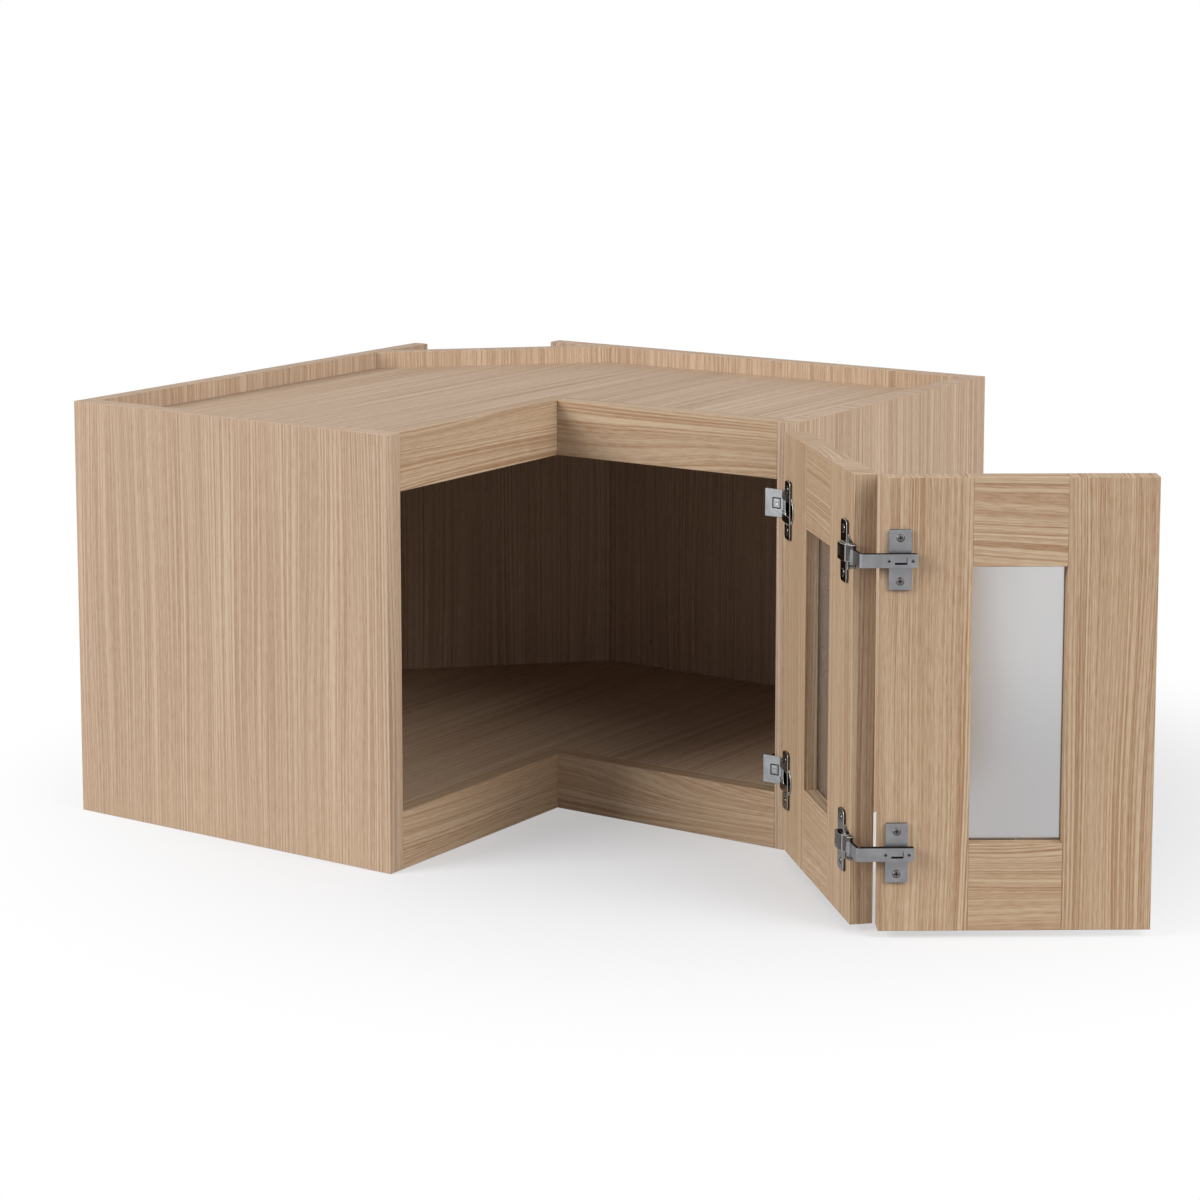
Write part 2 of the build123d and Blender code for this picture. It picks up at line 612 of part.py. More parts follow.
def fold_cup():
    """Return a fold hinge's cup, with the raised housing between its wings."""
    pin_x, pin_y = FOLD_CUP_INSET + FOLD_PIN_OUT, FOLD_PIN_RISE
    inner = FOLD_KNUCKLE_HALF + KNUCKLE_GAP
    body = hinge_cup(
        pin_x, pin_y, FOLD_CUP_INSET, FOLD_KNUCKLE_RADIUS, inner, FOLD_CUP_KNUCKLE_END, 0
    )
    half_width = FLANGE_WIDTH / 2
    outline = [
        (-half_width, 0),
        (half_width * 1.6, 0),
        (half_width * 1.3, HOUSING_RISE * 0.7),
        (half_width * 0.6, HOUSING_RISE),
        (-half_width * 0.6, HOUSING_RISE),
    ]
    housing = prism(outline, -inner - WING_THICK, inner + WING_THICK)
    return body + housing


def hinge_pin(x, y, half):
    """Return a hinge pin with a low head at each end."""
    pin = upright_rod(x, y, PIN_RADIUS, -half - PIN_HEAD_THICK, half + PIN_HEAD_THICK)
    for side in (-1, 1):
        z0, z1 = sorted((side * (half + PIN_CLEARANCE), side * (half + PIN_HEAD_THICK)))
        pin += upright_rod(x, y, PIN_HEAD_RADIUS, z0, z1)
    return pin


def make_cups():
    """Write the four cups, their screws and the fold hinge pins, all on the hinged door."""
    screws = []
    pins = []
    far_x = HINGED_WIDTH - FOLD_CUP_INSET
    for level, z in HINGE_HEIGHTS.items():
        cabinet_place = HINGED_PLACE * Pos(CABINET_CUP_INSET, 0, z) * Rot(0, 0, 180)
        fold_place = HINGED_PLACE * Pos(far_x, 0, z) * Rot(180, 0, 0)
        write(f"{level}_cabinet_hinge_cup", cabinet_cup(), cabinet_place)
        write(f"{level}_fold_hinge_cup", fold_cup(), fold_place)
        fold_pin_x = FOLD_CUP_INSET + FOLD_PIN_OUT
        pins.append(fold_place * hinge_pin(fold_pin_x, FOLD_PIN_RISE, FOLD_CUP_KNUCKLE_END))
        for x in (CABINET_CUP_INSET, far_x):
            for side in (-1, 1):
                screws.append(HINGED_PLACE * door_screw(x, z + side * CUP_SCREW_SPACING / 2))
    write("cup_screws", screws)
    write("fold_hinge_pins", pins)


# ---------------------------------------------------------------- cabinet hinge arms
def mount_plate_middle():
    """Return the mounting plate's middle line along Y."""
    return -(WING_DEPTH - MOUNT_PLATE_SETBACK - MOUNT_PLATE_WIDTH / 2)


def mounting_plate():
    """Return a mounting plate about its hinge's centre height, on the end panel."""
    y = mount_plate_middle()
    half = MOUNT_PLATE_LENGTH / 2
    x0 = INNER_END - MOUNT_PLATE_THICK
    plate = block(x0, INNER_END, y - MOUNT_PLATE_WIDTH / 2, y + MOUNT_PLATE_WIDTH / 2, -half, half)
    plate = fillet(plate.edges().filter_by(Axis.X), FLANGE_CORNER)
    radius = WOOD_SCREW_RADIUS + SCREW_CLEARANCE
    for side in (-1, 1):
        plate -= rod_x(radius, x0 - 1, INNER_END + 1, y, side * MOUNT_SCREW_SPACING / 2)
    return plate - rod_x(radius, x0 - 1, INNER_END + 1, y, 0)


def arm_channel():
    """Return the arm's channel, open towards the end panel and seated on its plate."""
    x1 = INNER_END - MOUNT_PLATE_THICK
    x0 = INNER_END - ARM_REACH
    y0 = -(WING_DEPTH + ARM_FRONT_SEAT)
    y1 = y0 + ARM_LENGTH
    half = ARM_HEIGHT / 2
    outer = block(x0, x1, y0, y1, -half, half)
    inner = block(x0 + ARM_WALL, x1 + 1, y0 + ARM_WALL, y1 + 1, -half + ARM_WALL, half - ARM_WALL)
    screw_hole = WOOD_SCREW_RADIUS + SCREW_CLEARANCE
    return outer - inner - rod_x(screw_hole, x0 - 1, x0 + ARM_WALL + 1, mount_plate_middle(), 0)


def window_groove(x, y_front):
    """Return the square groove in the arm's front plate."""
    y1 = y_front + WINDOW_DEPTH
    half_w, half_h = WINDOW_WIDTH / 2, WINDOW_HEIGHT / 2
    outer = block(x - half_w, x + half_w, y_front - 1, y1, -half_h, half_h)
    half_w -= WINDOW_GROOVE
    half_h -= WINDOW_GROOVE
    return outer - block(x - half_w, x + half_w, y_front - 2, y1 + 1, -half_h, half_h)


def arm_front():
    """Return the arm's front plate, the strap on it and the knuckle at the pin."""
    pin_x, pin_y = MAIN_PIN
    y1 = -(WING_DEPTH + ARM_FRONT_SEAT)
    y0 = y1 - ARM_FRONT_THICK
    x0 = INNER_END - ARM_REACH
    x1 = x0 + ARM_FRONT_WIDTH
    half = ARM_FRONT_HEIGHT / 2
    plate = block(x0, x1, y0, y1, -half, half)
    plate = fillet(plate.edges().filter_by(Axis.Y), 1.0)
    radius = CABINET_KNUCKLE_RADIUS
    outline = [
        (x1 - radius, y1),
        (x1 - radius, y0),
        (pin_x - radius * 1.4, y0),
        (pin_x - radius * 0.6, pin_y + radius * 0.5),
        (pin_x, pin_y),
        (pin_x + radius * 0.8, pin_y + radius * 0.5),
        (pin_x - radius * 0.3, y1),
    ]
    strap = prism(outline, -CABINET_KNUCKLE_HALF, CABINET_KNUCKLE_HALF)
    knuckle = upright_rod(pin_x, pin_y, radius, -CABINET_KNUCKLE_HALF, CABINET_KNUCKLE_HALF)
    window_x = x0 + ARM_FRONT_WIDTH - WINDOW_WIDTH * 0.7
    body = plate + strap + knuckle - window_groove(window_x, y0)
    return body - upright_rod(pin_x, pin_y, PIN_RADIUS + PIN_CLEARANCE, -half, half)


def make_arms():
    """Write the cabinet hinges' arms, mounting plates, screws and pins."""
    plate_screws = []
    arm_screws = []
    pins = []
    y = mount_plate_middle()
    head_side = Rot(0, -90, 0)
    plate_face = INNER_END - MOUNT_PLATE_THICK
    web_face = INNER_END - ARM_REACH
    for level, z in HINGE_HEIGHTS.items():
        lift = Pos(0, 0, z)
        write(f"{level}_cabinet_hinge_arm", arm_channel() + arm_front(), lift)
        write(f"{level}_cabinet_hinge_mounting_plate", mounting_plate(), lift)
        for side in (-1, 1):
            body = screw(WOOD_SCREW_RADIUS, WOOD_SCREW_LENGTH, SCREW_HEAD_RADIUS, SCREW_HEAD_THICK)
            plate_screws.append(Pos(plate_face, y, z + side * MOUNT_SCREW_SPACING / 2) * head_side * body)
        reach = plate_face - web_face + MOUNT_PLATE_THICK - SCREW_CLEARANCE
        body = screw(WOOD_SCREW_RADIUS, reach, SCREW_HEAD_RADIUS, SCREW_HEAD_THICK)
        arm_screws.append(Pos(web_face, y, z) * head_side * body)
        pins.append(lift * hinge_pin(*MAIN_PIN, CABINET_CUP_KNUCKLE_END))
    write("mounting_plate_screws", plate_screws)
    write("arm_fixing_screws", arm_screws)
    write("cabinet_hinge_pins", pins)


# ---------------------------------------------------------------- fold hinge straps
def fold_plate():
    """Return the fold hinge's plate and the seat that lifts its strap."""
    x0, x1 = FOLD_PLATE_INSET, FOLD_PLATE_INSET + FOLD_PLATE_WIDTH
    half = FOLD_PLATE_LENGTH / 2
    plate = block(x0, x1, -FOLD_PLATE_THICK, 0, -half, half)
    plate = fillet(plate.edges().filter_by(Axis.Y), FOLD_PLATE_CORNER)
    seat_half = FOLD_KNUCKLE_HALF - KNUCKLE_GAP
    plate += block(x0, x1, -SEAT_RISE, -FOLD_PLATE_THICK, -seat_half, seat_half)
    middle = fold_plate_middle()
    for side in (-1, 1):
        z = side * FOLD_SCREW_SPACING / 2
        plate -= sunk_screw_hole(middle, z)
        x = middle + side * STRAP_SCREW_SPACING / 2
        plate -= rod_y(SMALL_SCREW_RADIUS + SCREW_CLEARANCE, x, -SEAT_RISE - 1, -FOLD_PLATE_THICK + 1, 0)
    return plate


def fold_pin_in_folding_door():
    """Return the fold pin's place in the folding door's own frame."""
    hinged_x, hinged_y = FOLD_PIN
    edge = DOOR_THICK + FOLD_CLEARANCE
    return hinged_y - edge, HINGED_WIDTH - FOLD_LAP + DOOR_THICK - hinged_x


def fold_strap():
    """Return the strap: flat over its seat, bent round the door's edge to the fold pin."""
    pin_x, pin_y = fold_pin_in_folding_door()
    outer, inner = -SEAT_RISE - STRAP_THICK, -SEAT_RISE
    radius = FOLD_KNUCKLE_RADIUS
    outline = [
        (STRAP_END, outer),
        (STRAP_END, inner),
        (-STRAP_BEND + STRAP_THICK, inner),
        (pin_x + radius * 0.7, pin_y - radius * 0.5),
        (pin_x, pin_y),
        (pin_x - radius * 0.1, pin_y - radius * 0.9),
        (-STRAP_BEND - STRAP_THICK * 0.6, inner - STRAP_THICK * 0.2),
        (-STRAP_BEND + STRAP_THICK * 0.4, outer),
    ]
    half = FOLD_KNUCKLE_HALF
    strap = prism(outline, -half, half) + upright_rod(pin_x, pin_y, radius, -half, half)
    strap -= upright_rod(pin_x, pin_y, PIN_RADIUS + PIN_CLEARANCE, -half - 1, half + 1)
    middle = fold_plate_middle()
    for side in (-1, 1):
        x = middle + side * STRAP_SCREW_SPACING / 2
        strap -= rod_y(SMALL_SCREW_RADIUS + SCREW_CLEARANCE, x, outer - 1, inner + 1, 0)
    slot_z = -SLOT_WIDTH * 1.3
    slot_x0, slot_x1 = middle - SLOT_LENGTH / 2, middle + SLOT_LENGTH / 2
    strap -= block(slot_x0, slot_x1, outer - 1, inner + 1, slot_z - SLOT_WIDTH / 2, slot_z + SLOT_WIDTH / 2)
    return strap - block(slot_x1 - 0.5, slot_x1, outer - 1, inner + 1, slot_z, -slot_z + SLOT_WIDTH / 2)


def make_straps():
    """Write the fold hinges' plates, straps and screws, all on the folding door."""
    plate_screws = []
    strap_screws = []
    middle = fold_plate_middle()
    strap_face = SEAT_RISE + STRAP_THICK
    reach = strap_face - FOLD_PLATE_THICK
    for level, z in HINGE_HEIGHTS.items():
        place = FOLDING_PLACE * Pos(0, 0, z)
        write(f"{level}_fold_hinge_plate", fold_plate(), place)
        write(f"{level}_fold_hinge_strap", fold_strap(), place)
        for side in (-1, 1):
            plate_screws.append(place * door_screw(middle, side * FOLD_SCREW_SPACING / 2))
            x = middle + side * STRAP_SCREW_SPACING / 2
            small = screw(SMALL_SCREW_RADIUS, reach, SMALL_HEAD_RADIUS, SCREW_CLEARANCE * 10)
            strap_screws.append(place * Pos(x, -strap_face, 0) * Rot(90, 0, 0) * small)
    write("fold_plate_screws", plate_screws)
    write("strap_screws", strap_screws)


def main():
    """Write every piece and print the two hinge lines for the record."""
    os.makedirs("parts", exist_ok=True)
    make_case()
    make_doors()
    make_cups()
    make_arms()
    make_straps()
    fold_line = (HINGED_PLACE * Pos(FOLD_PIN[0], FOLD_PIN[1], 0)).position
    print("cabinet hinge line", MAIN_PIN)
    print("fold hinge line", (fold_line.X, fold_line.Y))
    print("door widths", HINGED_WIDTH, FOLDING_WIDTH)


if __name__ == "__main__":
    main()
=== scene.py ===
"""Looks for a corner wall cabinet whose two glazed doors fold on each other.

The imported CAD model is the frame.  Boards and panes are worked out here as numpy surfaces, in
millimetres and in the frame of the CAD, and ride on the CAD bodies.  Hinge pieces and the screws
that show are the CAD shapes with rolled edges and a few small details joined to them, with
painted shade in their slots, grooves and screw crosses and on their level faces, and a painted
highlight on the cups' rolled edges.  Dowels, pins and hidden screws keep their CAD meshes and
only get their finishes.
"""

from __future__ import annotations

import json
import logging
import math
from dataclasses import dataclass, field
from enum import Enum

import bmesh
import bpy
import numpy as np
from mathutils import Matrix, Vector
from mathutils.geometry import tessellate_polygon

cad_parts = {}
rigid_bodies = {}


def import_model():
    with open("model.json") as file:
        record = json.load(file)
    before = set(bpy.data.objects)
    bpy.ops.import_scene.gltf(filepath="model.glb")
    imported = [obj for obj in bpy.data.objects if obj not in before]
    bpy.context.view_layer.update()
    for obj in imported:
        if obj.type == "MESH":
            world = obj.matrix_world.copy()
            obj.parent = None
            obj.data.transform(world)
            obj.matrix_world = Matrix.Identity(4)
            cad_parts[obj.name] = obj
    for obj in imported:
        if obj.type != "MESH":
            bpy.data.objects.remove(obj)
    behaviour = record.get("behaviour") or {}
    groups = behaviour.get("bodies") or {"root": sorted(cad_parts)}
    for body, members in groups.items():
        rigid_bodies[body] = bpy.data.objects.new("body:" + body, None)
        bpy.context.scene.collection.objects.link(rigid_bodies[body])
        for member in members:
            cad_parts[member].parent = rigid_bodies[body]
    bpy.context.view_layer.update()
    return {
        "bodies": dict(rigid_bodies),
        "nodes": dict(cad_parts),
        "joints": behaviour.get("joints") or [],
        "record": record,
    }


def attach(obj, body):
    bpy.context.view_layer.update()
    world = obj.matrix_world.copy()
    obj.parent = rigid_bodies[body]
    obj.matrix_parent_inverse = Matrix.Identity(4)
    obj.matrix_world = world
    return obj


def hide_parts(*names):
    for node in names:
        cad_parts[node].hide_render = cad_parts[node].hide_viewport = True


LOG = logging.getLogger("corner_cabinet")

Array = np.ndarray
Pair = tuple[float, float]
Material = bpy.types.Material
Socket = bpy.types.NodeSocket
Value = float | tuple | Socket

MM = 0.001
EASE_STEPS = 2  # facets across an eased edge
ARC_STEPS = 2  # facets round an eased corner
BOARD_EASE = 0.45  # sanded edge of a board
CORNER_SHARE = 1.1  # an outline's corner against its eased edges
HOLE_STEPS = 20  # corners of a small hole's circle
BORE_STEPS = 40  # corners of a cup bore's circle
DOOR_WIDTH = 219.15
DOOR_THICK = 19.05
HINGE_LEVELS = (("upper", 309.45), ("lower", 71.55))
SCREW_RADIUS = 1.65  # of the holes for the hinges' screws
SIDES = (-1, 1)


class Body(Enum):
    """The CAD bodies that pieces ride on."""

    CABINET = "cabinet"
    HINGED = "hinged_door"
    FOLDING = "folding_door"


class Slot(Enum):
    """The record's material slots, one held with each new piece."""

    VENEER = "oak_veneer"
    DOOR = "oak_door"
    PANE = "pane_glass"
    CUP = "cup_steel"
    STRAP = "strap_steel"
    SCREW = "screw_steel"


class Axes(Enum):
    """How a slab's outline directions and its depth lie in its own frame, as three rows."""

    DEPTH_Z = ((1, 0, 0), (0, 1, 0), (0, 0, 1))
    DEPTH_X = ((0, 1, 0), (0, 0, 1), (1, 0, 0))
    DEPTH_Y = ((0, 0, 1), (1, 0, 0), (0, 1, 0))
    DEPTH_MINUS_Y = ((1, 0, 0), (0, 0, 1), (0, -1, 0))


class Grain(Enum):
    """Directions across the grain, through the board and along the grain."""

    UP_FACING_Y = ((1, 0, 0), (0, 1, 0), (0, 0, 1))
    UP_FACING_X = ((0, 1, 0), (1, 0, 0), (0, 0, 1))
    UP_FACING_CORNER = ((1, 1, 0), (1, -1, 0), (0, 0, 1))
    ALONG_X_FACING_Y = ((0, 0, 1), (0, 1, 0), (1, 0, 0))
    ALONG_Y_FACING_X = ((0, 0, 1), (1, 0, 0), (0, 1, 0))
    ALONG_Y_FACING_UP = ((1, 0, 0), (0, 0, 1), (0, 1, 0))


def srgb(red: int, green: int, blue: int) -> tuple[float, float, float, float]:
    """Turn a colour written as 0 to 255 screen values into Blender's linear colour.

    Args:
        red, green, blue: the screen values.

    Returns:
        The linear red, green, blue and an alpha of one, by the sRGB standard's own curve.
    """
    share = np.array([red, green, blue]) / 255
    linear = np.where(share <= 0.04045, share / 12.92, ((share + 0.055) / 1.055) ** 2.4)
    return (*(float(v) for v in linear), 1.0)


# ------------------------------------------------------------------------------ shapes
@dataclass(frozen=True)
class Recess:
    """A hole, pocket or boss on one face of a slab.

    rings holds a closed loop for each depth, in the face's own two directions.  Depths run
    inwards from 0 at the mouth, and a boss has negative ones.  A through recess comes out of
    the other broad face.
    """

    face: str | int
    rings: Array
    depths: tuple[float, ...]
    through: bool = False

    @staticmethod
    def drill(
        face: str | int,
        spot: Pair,
        steps: tuple[Pair, ...],
        through: bool = False,
        count: int = HOLE_STEPS,
    ) -> Recess:
        """Make a round hole: at each step a circle of that radius at that depth.

        Args:
            face: "low", "high" or a side's number.
            spot: the hole's middle on the face.
            steps: pairs of radius and depth, from the mouth inwards.
            through: whether the hole comes out of the other broad face.
            count: corners of each circle.

        Returns:
            The recess.
        """
        turn = np.linspace(0, 2 * np.pi, count, endpoint=False)
        circle = np.stack([np.cos(turn), np.sin(turn)], axis=1)
        radii = np.array([radius for radius, _ in steps])
        rings = circle[None] * radii[:, None, None] + np.array(spot)
        return Recess(face, rings, tuple(depth for _, depth in steps), through)

    @staticmethod
    def bore(
        face: str | int, spot: Pair, radius: float, depth: float, **settings: bool | int
    ) -> Recess:
        """Make a straight round hole, with drill's other settings."""
        return Recess.drill(face, spot, ((radius, 0), (radius, depth)), **settings)

    @staticmethod
    def cut(face: str | int, across: Pair, up: Pair, depth: float) -> Recess:
        """Make a rectangular pocket, or a boss where depth is negative."""
        loop = np.array(box_outline(across, up))
        return Recess(face, np.stack([loop, loop]), (0.0, depth))


def box_outline(first: Pair, second: Pair) -> list[Pair]:
    """Return a rectangle's corners, anticlockwise, from its two ranges."""
    (x0, x1), (y0, y1) = first, second
    return [(x0, y0), (x1, y0), (x1, y1), (x0, y1)]


def plus_outline(half_length: float, half_width: float) -> list[Pair]:
    """Return a plus sign's twelve corners: a quarter of them, turned four times.

    Args:
        half_length: from the middle to an arm's end.
        half_width: from an arm's middle line to its side.

    Returns:
        The corners, anticlockwise.
    """
    a, b = half_length, half_width
    quarter = ((a, -b), (a, b), (b, b))
    turns = ((1, 0), (0, 1), (-1, 0), (0, -1))
    return [(x * c - y * s, x * s + y * c) for c, s in turns for x, y in quarter]


def rounded(outline: Array, radius: float) -> tuple[Array, Array]:
    """Round the corners of a closed outline.

    Each corner becomes an arc that touches both its sides: the arc's centre lies off the
    incoming side by the radius, and its points are the side's normal turned by even shares of
    the corner's turn.

    Args:
        outline: corners in order, anticlockwise, as rows of two numbers.
        radius: the corners' radius.

    Returns:
        The path's points and its outward normals.
    """
    incoming = outline - np.roll(outline, 1, axis=0)
    outgoing = np.roll(outline, -1, axis=0) - outline
    incoming = incoming / np.linalg.norm(incoming, axis=1, keepdims=True)
    outgoing = outgoing / np.linalg.norm(outgoing, axis=1, keepdims=True)
    normal = np.stack([incoming[:, 1], -incoming[:, 0]], axis=1)
    cross = incoming[:, 0] * outgoing[:, 1] - incoming[:, 1] * outgoing[:, 0]
    turn = np.arctan2(cross, np.sum(incoming * outgoing, axis=1))
    signed = radius * np.where(turn < 0, -1.0, 1.0)
    reach = radius * np.tan(np.abs(turn) / 2)
    centre = outline - incoming * reach[:, None] - normal * signed[:, None]
    angle = turn[:, None] * np.linspace(0, 1, ARC_STEPS + 1)[None]
    x, y = normal[:, 0, None], normal[:, 1, None]
    cos, sin = np.cos(angle), np.sin(angle)
    swung = np.stack([x * cos - y * sin, x * sin + y * cos], axis=-1)
    arcs = centre[:, None] + swung * signed[:, None, None]
    return arcs.reshape(-1, 2), swung.reshape(-1, 2)


def bands(marks: Array) -> Array:
    """Return the four-cornered faces between closed rows of points, from the points' numbers."""
    ahead = np.roll(marks, -1, axis=1)
    return np.stack([marks[:-1], ahead[:-1], ahead[1:], marks[1:]], axis=-1)


def filled(loops: list[Array], marks: Array, facing: int) -> Array:
    """Fill a flat face round its holes with triangles.

    Args:
        loops: the face's outer loop and then its holes, in the face's two directions.
        marks: the points' numbers in the mesh, in the loops' order.
        facing: 1 where the two directions are anticlockwise seen from outside, otherwise -1.

    Returns:
        Rows of three point numbers, all facing outwards.
    """
    rows = [np.column_stack([loop, np.zeros(len(loop))]).tolist() for loop in loops]
    triangles = np.array(tessellate_polygon([[Vector(p) for p in row] for row in rows]))
    spots = np.concatenate(loops)
    first, second, third = (spots[triangles[:, k]] for k in range(3))
    one, two = second - first, third - first
    wrong = (one[:, 0] * two[:, 1] - one[:, 1] * two[:, 0]) * facing < 0
    triangles[wrong] = triangles[wrong][:, ::-1]
    return marks[triangles]


class Surface:
    """The points and faces of one mesh, gathered as whole arrays in millimetres."""

    def __init__(self) -> None:
        """Start with no points and no faces."""
        self.points: list[Array] = []
        self.faces: list[list[int]] = []
        self.smooth: list[bool] = []
        self.total = 0

    def place(self, points: Array) -> Array:
        """Add points.

        Args:
            points: an array whose last direction holds x, y and z.

        Returns:
            The points' numbers, laid out as the points are.
        """
        rows = points.reshape(-1, 3)
        marks = np.arange(len(rows)).reshape(points.shape[:-1]) + self.total
        self.points.append(rows)
        self.total += len(rows)
        return marks

    def cover(self, faces: Array, smooth: bool = False) -> None:
        """Add faces.

        Args:
            faces: rows of point numbers, or one row.
            smooth: whether the faces are shaded smooth.
        """
        rows = np.atleast_2d(faces).tolist()
        self.faces += rows
        self.smooth += [smooth] * len(rows)

    def sink(self, recess: Recess, plane: Array, facing: int) -> Array:
        """Add a recess's walls and floor.

        A ring's point is the plane's origin, plus the point's two numbers times the plane's two
        directions, plus the depth times the direction inwards.

        Args:
            recess: what is sunk.
            plane: rows of the face's two directions, the direction inwards and the origin.
            facing: 1 where the two directions are anticlockwise seen from outside, otherwise -1.

        Returns:
            The numbers of the rings' points.
        """
        depths = np.array(recess.depths)[:, None, None]
        marks = self.place(recess.rings @ plane[:2] + depths * plane[2] + plane[3])
        walls = bands(marks).reshape(-1, 4)
        self.cover(walls[:, ::facing], smooth=recess.rings.shape[1] > 4)
        if not recess.through:
            self.cover(marks[-1][::facing])
        return marks

    def close(
        self, outer: Array, loop: Array, mouths: list[tuple[Array, Array]], facing: int
    ) -> None:
        """Close a flat face round the mouths in it.

        Args:
            outer: the numbers of the face's outer points.
            loop: those points in the face's two directions.
            mouths: each mouth's point numbers and its loop.
            facing: 1 where the two directions are anticlockwise seen from outside, otherwise -1.
        """
        if mouths:
            marks = np.concatenate([outer, *(marks for marks, _ in mouths)])
            self.cover(filled([loop, *(ring for _, ring in mouths)], marks, facing))
        else:
            self.cover(outer[::facing])

    def slab(
        self,
        outline: list[Pair],
        low: float,
        high: float,
        ease: float = BOARD_EASE,
        corner: float | None = None,
        recesses: tuple[Recess, ...] | list[Recess] = (),
        axes: Axes = Axes.DEPTH_Z,
    ) -> Surface:
        """Add a slab with eased edges: a rounded outline carried up through its thickness.

        Row k of the surface is the outline drawn in by ease * (1 - sin t) at the height
        ease * (1 - cos t) from the nearer broad face, t being k even shares of a right angle.

        Args:
            outline: corners, anticlockwise in the outline's two directions.
            low, high: where the broad faces lie along the depth.
            ease: radius of the eased edges.
            corner: radius of the outline's corners, if not in keeping with the edges.
            recesses: holes, pockets and bosses.
            axes: how the outline and the depth lie in the piece's frame.

        Returns:
            The surface itself.
        """
        frame = np.array(axes.value, float)
        outline = np.array(outline, float)
        path, outward = rounded(outline, ease * CORNER_SHARE if corner is None else corner)
        angle = np.linspace(0, np.pi / 2, EASE_STEPS + 1)
        draw_in, rise = ease * (1 - np.sin(angle)), ease * (1 - np.cos(angle))
        insets = np.concatenate([draw_in, draw_in[::-1]])
        levels = np.concatenate([low + rise, high - rise[::-1]])
        rings = path[None] - outward[None] * insets[:, None, None]
        heights = np.broadcast_to(levels[:, None, None], (*rings.shape[:2], 1))
        wall = np.concatenate([rings, heights], axis=2)
        index = self.place(wall @ frame)
        quads = bands(index)
        columns = np.arange(len(outline)) * (ARC_STEPS + 1) + ARC_STEPS
        pierced = sorted({r.face for r in recesses if not isinstance(r.face, str)})
        flat = np.zeros(quads.shape[:2], bool)
        flat[EASE_STEPS, columns] = True
        whole = flat.copy()
        whole[EASE_STEPS, columns[pierced]] = False
        self.cover(quads[~flat], smooth=True)
        self.cover(quads[whole])

        for side in pierced:
            start = outline[side]
            along = outline[(side + 1) % len(outline)] - start
            along = along / np.linalg.norm(along)
            plane = np.array([[*along, 0], [0, 0, 1], [-along[1], along[0], 0], [*start, 0]])
            own = [r for r in recesses if r.face == side]
            mouths = [(self.sink(r, plane @ frame, 1)[0], r.rings[0]) for r in own]
            corners = quads[EASE_STEPS, columns[side]]
            spots = wall.reshape(-1, 3)[corners - index[0, 0]]
            self.close(corners, (spots - plane[3]) @ plane[:2].T, mouths, 1)

        broad: dict[str, list[tuple[Array, Array]]] = {"low": [], "high": []}
        for name, other, level, facing in (("low", "high", low, -1), ("high", "low", high, 1)):
            plane = np.array([[1, 0, 0], [0, 1, 0], [0, 0, -facing], [0, 0, level]])
            for recess in (r for r in recesses if r.face == name):
                marks = self.sink(recess, plane @ frame, facing)
                broad[name].append((marks[0], recess.rings[0]))
                if recess.through:
                    broad[other].append((marks[-1], recess.rings[-1]))
        self.close(index[0], rings[0], broad["low"], -1)
        self.close(index[-1], rings[-1], broad["high"], 1)
        return self

    def mesh(self, name: str) -> bpy.types.Mesh:
        """Put the points, in metres, and the faces into a mesh.

        Args:
            name: the mesh's name.

        Returns:
            The new mesh.
        """
        made = bpy.data.meshes.new(name)
        made.from_pydata((np.concatenate(self.points) * MM).tolist(), [], self.faces)
        made.polygons.foreach_set("use_smooth", self.smooth)
        made.update()
        return made


# ------------------------------------------------------------------------------ places
def moved(x: float, y: float, z: float = 0.0) -> Matrix:
    """Return the move by three distances."""
    return Matrix.Translation((x, y, z))


def spun(angle: float, axis: str = "Z") -> Matrix:
    """Return the turn by degrees about an axis."""
    return Matrix.Rotation(math.radians(angle), 4, axis)


def turned_about(point: Pair, angle: float) -> Matrix:
    """Return the turn by degrees about the upright line through a point."""
    return moved(*point) @ spun(angle) @ moved(-point[0], -point[1])


def in_metres(place: Matrix) -> Matrix:
    """Return a place that was worked out in millimetres as one in metres."""
    return Matrix.Translation(place.translation * MM) @ place.to_3x3().to_4x4()


@dataclass(frozen=True)
class DoorPlaces:
    """Where the doors stand at rest, worked out from their hinges as the CAD source does."""

    hinge_edge: Pair = (597.6, -362.0)
    main_pin: Pair = (604.8, -365.06)
    fold_pin_out: float = 3.4
    fold_pin_rise: float = 1.5
    open_angle: float = 135.0
    fold_relief: float = 10.0
    fold_lap: float = 2.6
    fold_clearance: float = 1.15

    def hinged(self) -> Matrix:
        """Return the hinged door's place."""
        closed = moved(*self.hinge_edge) @ spun(180)
        return turned_about(self.main_pin, self.open_angle) @ closed

    def folding(self) -> Matrix:
        """Return the folding door's place.

        Returns:
            The closed door's place, a right angle to the hinged door, flattened a little about
            the fold hinges' pins.
        """
        corner = (DOOR_WIDTH - self.fold_lap + DOOR_THICK, DOOR_THICK + self.fold_clearance)
        pin = (DOOR_WIDTH + self.fold_pin_out, -self.fold_pin_rise)
        return self.hinged() @ turned_about(pin, -self.fold_relief) @ moved(*corner) @ spun(90)


# ------------------------------------------------------------------------------ parts
EDGE_SHIFT, END_SHIFT = 0.31, 0.17  # metres from a face's veneer to that of an edge and an end
SHEET_STEP = (0.737, 1.193)  # metres from one board's veneer to the next board's
EVEN = (1.0, 1.02, 1.0)  # a face that faces two ways alike counts as broad
MERGE_WITHIN = 2e-6  # metres between points of a CAD mesh that are the same
FLAT_WITHIN = math.radians(1)  # faces that meet at less are one face
SHARP = math.radians(35)  # edges that turn by more are rolled
UPRIGHT = 0.8  # a face whose normal is this much upright gets the painted shade, for the dark that it reflects or the shade on it
ROLL_STEPS = 2  # facets across a rolled edge
# a fitting's slots hold its own finish, the painted shade and the painted highlight
PAINT, PAINTED_SHADE, PAINTED_HIGHLIGHT = range(3)  # a fitting's material slots


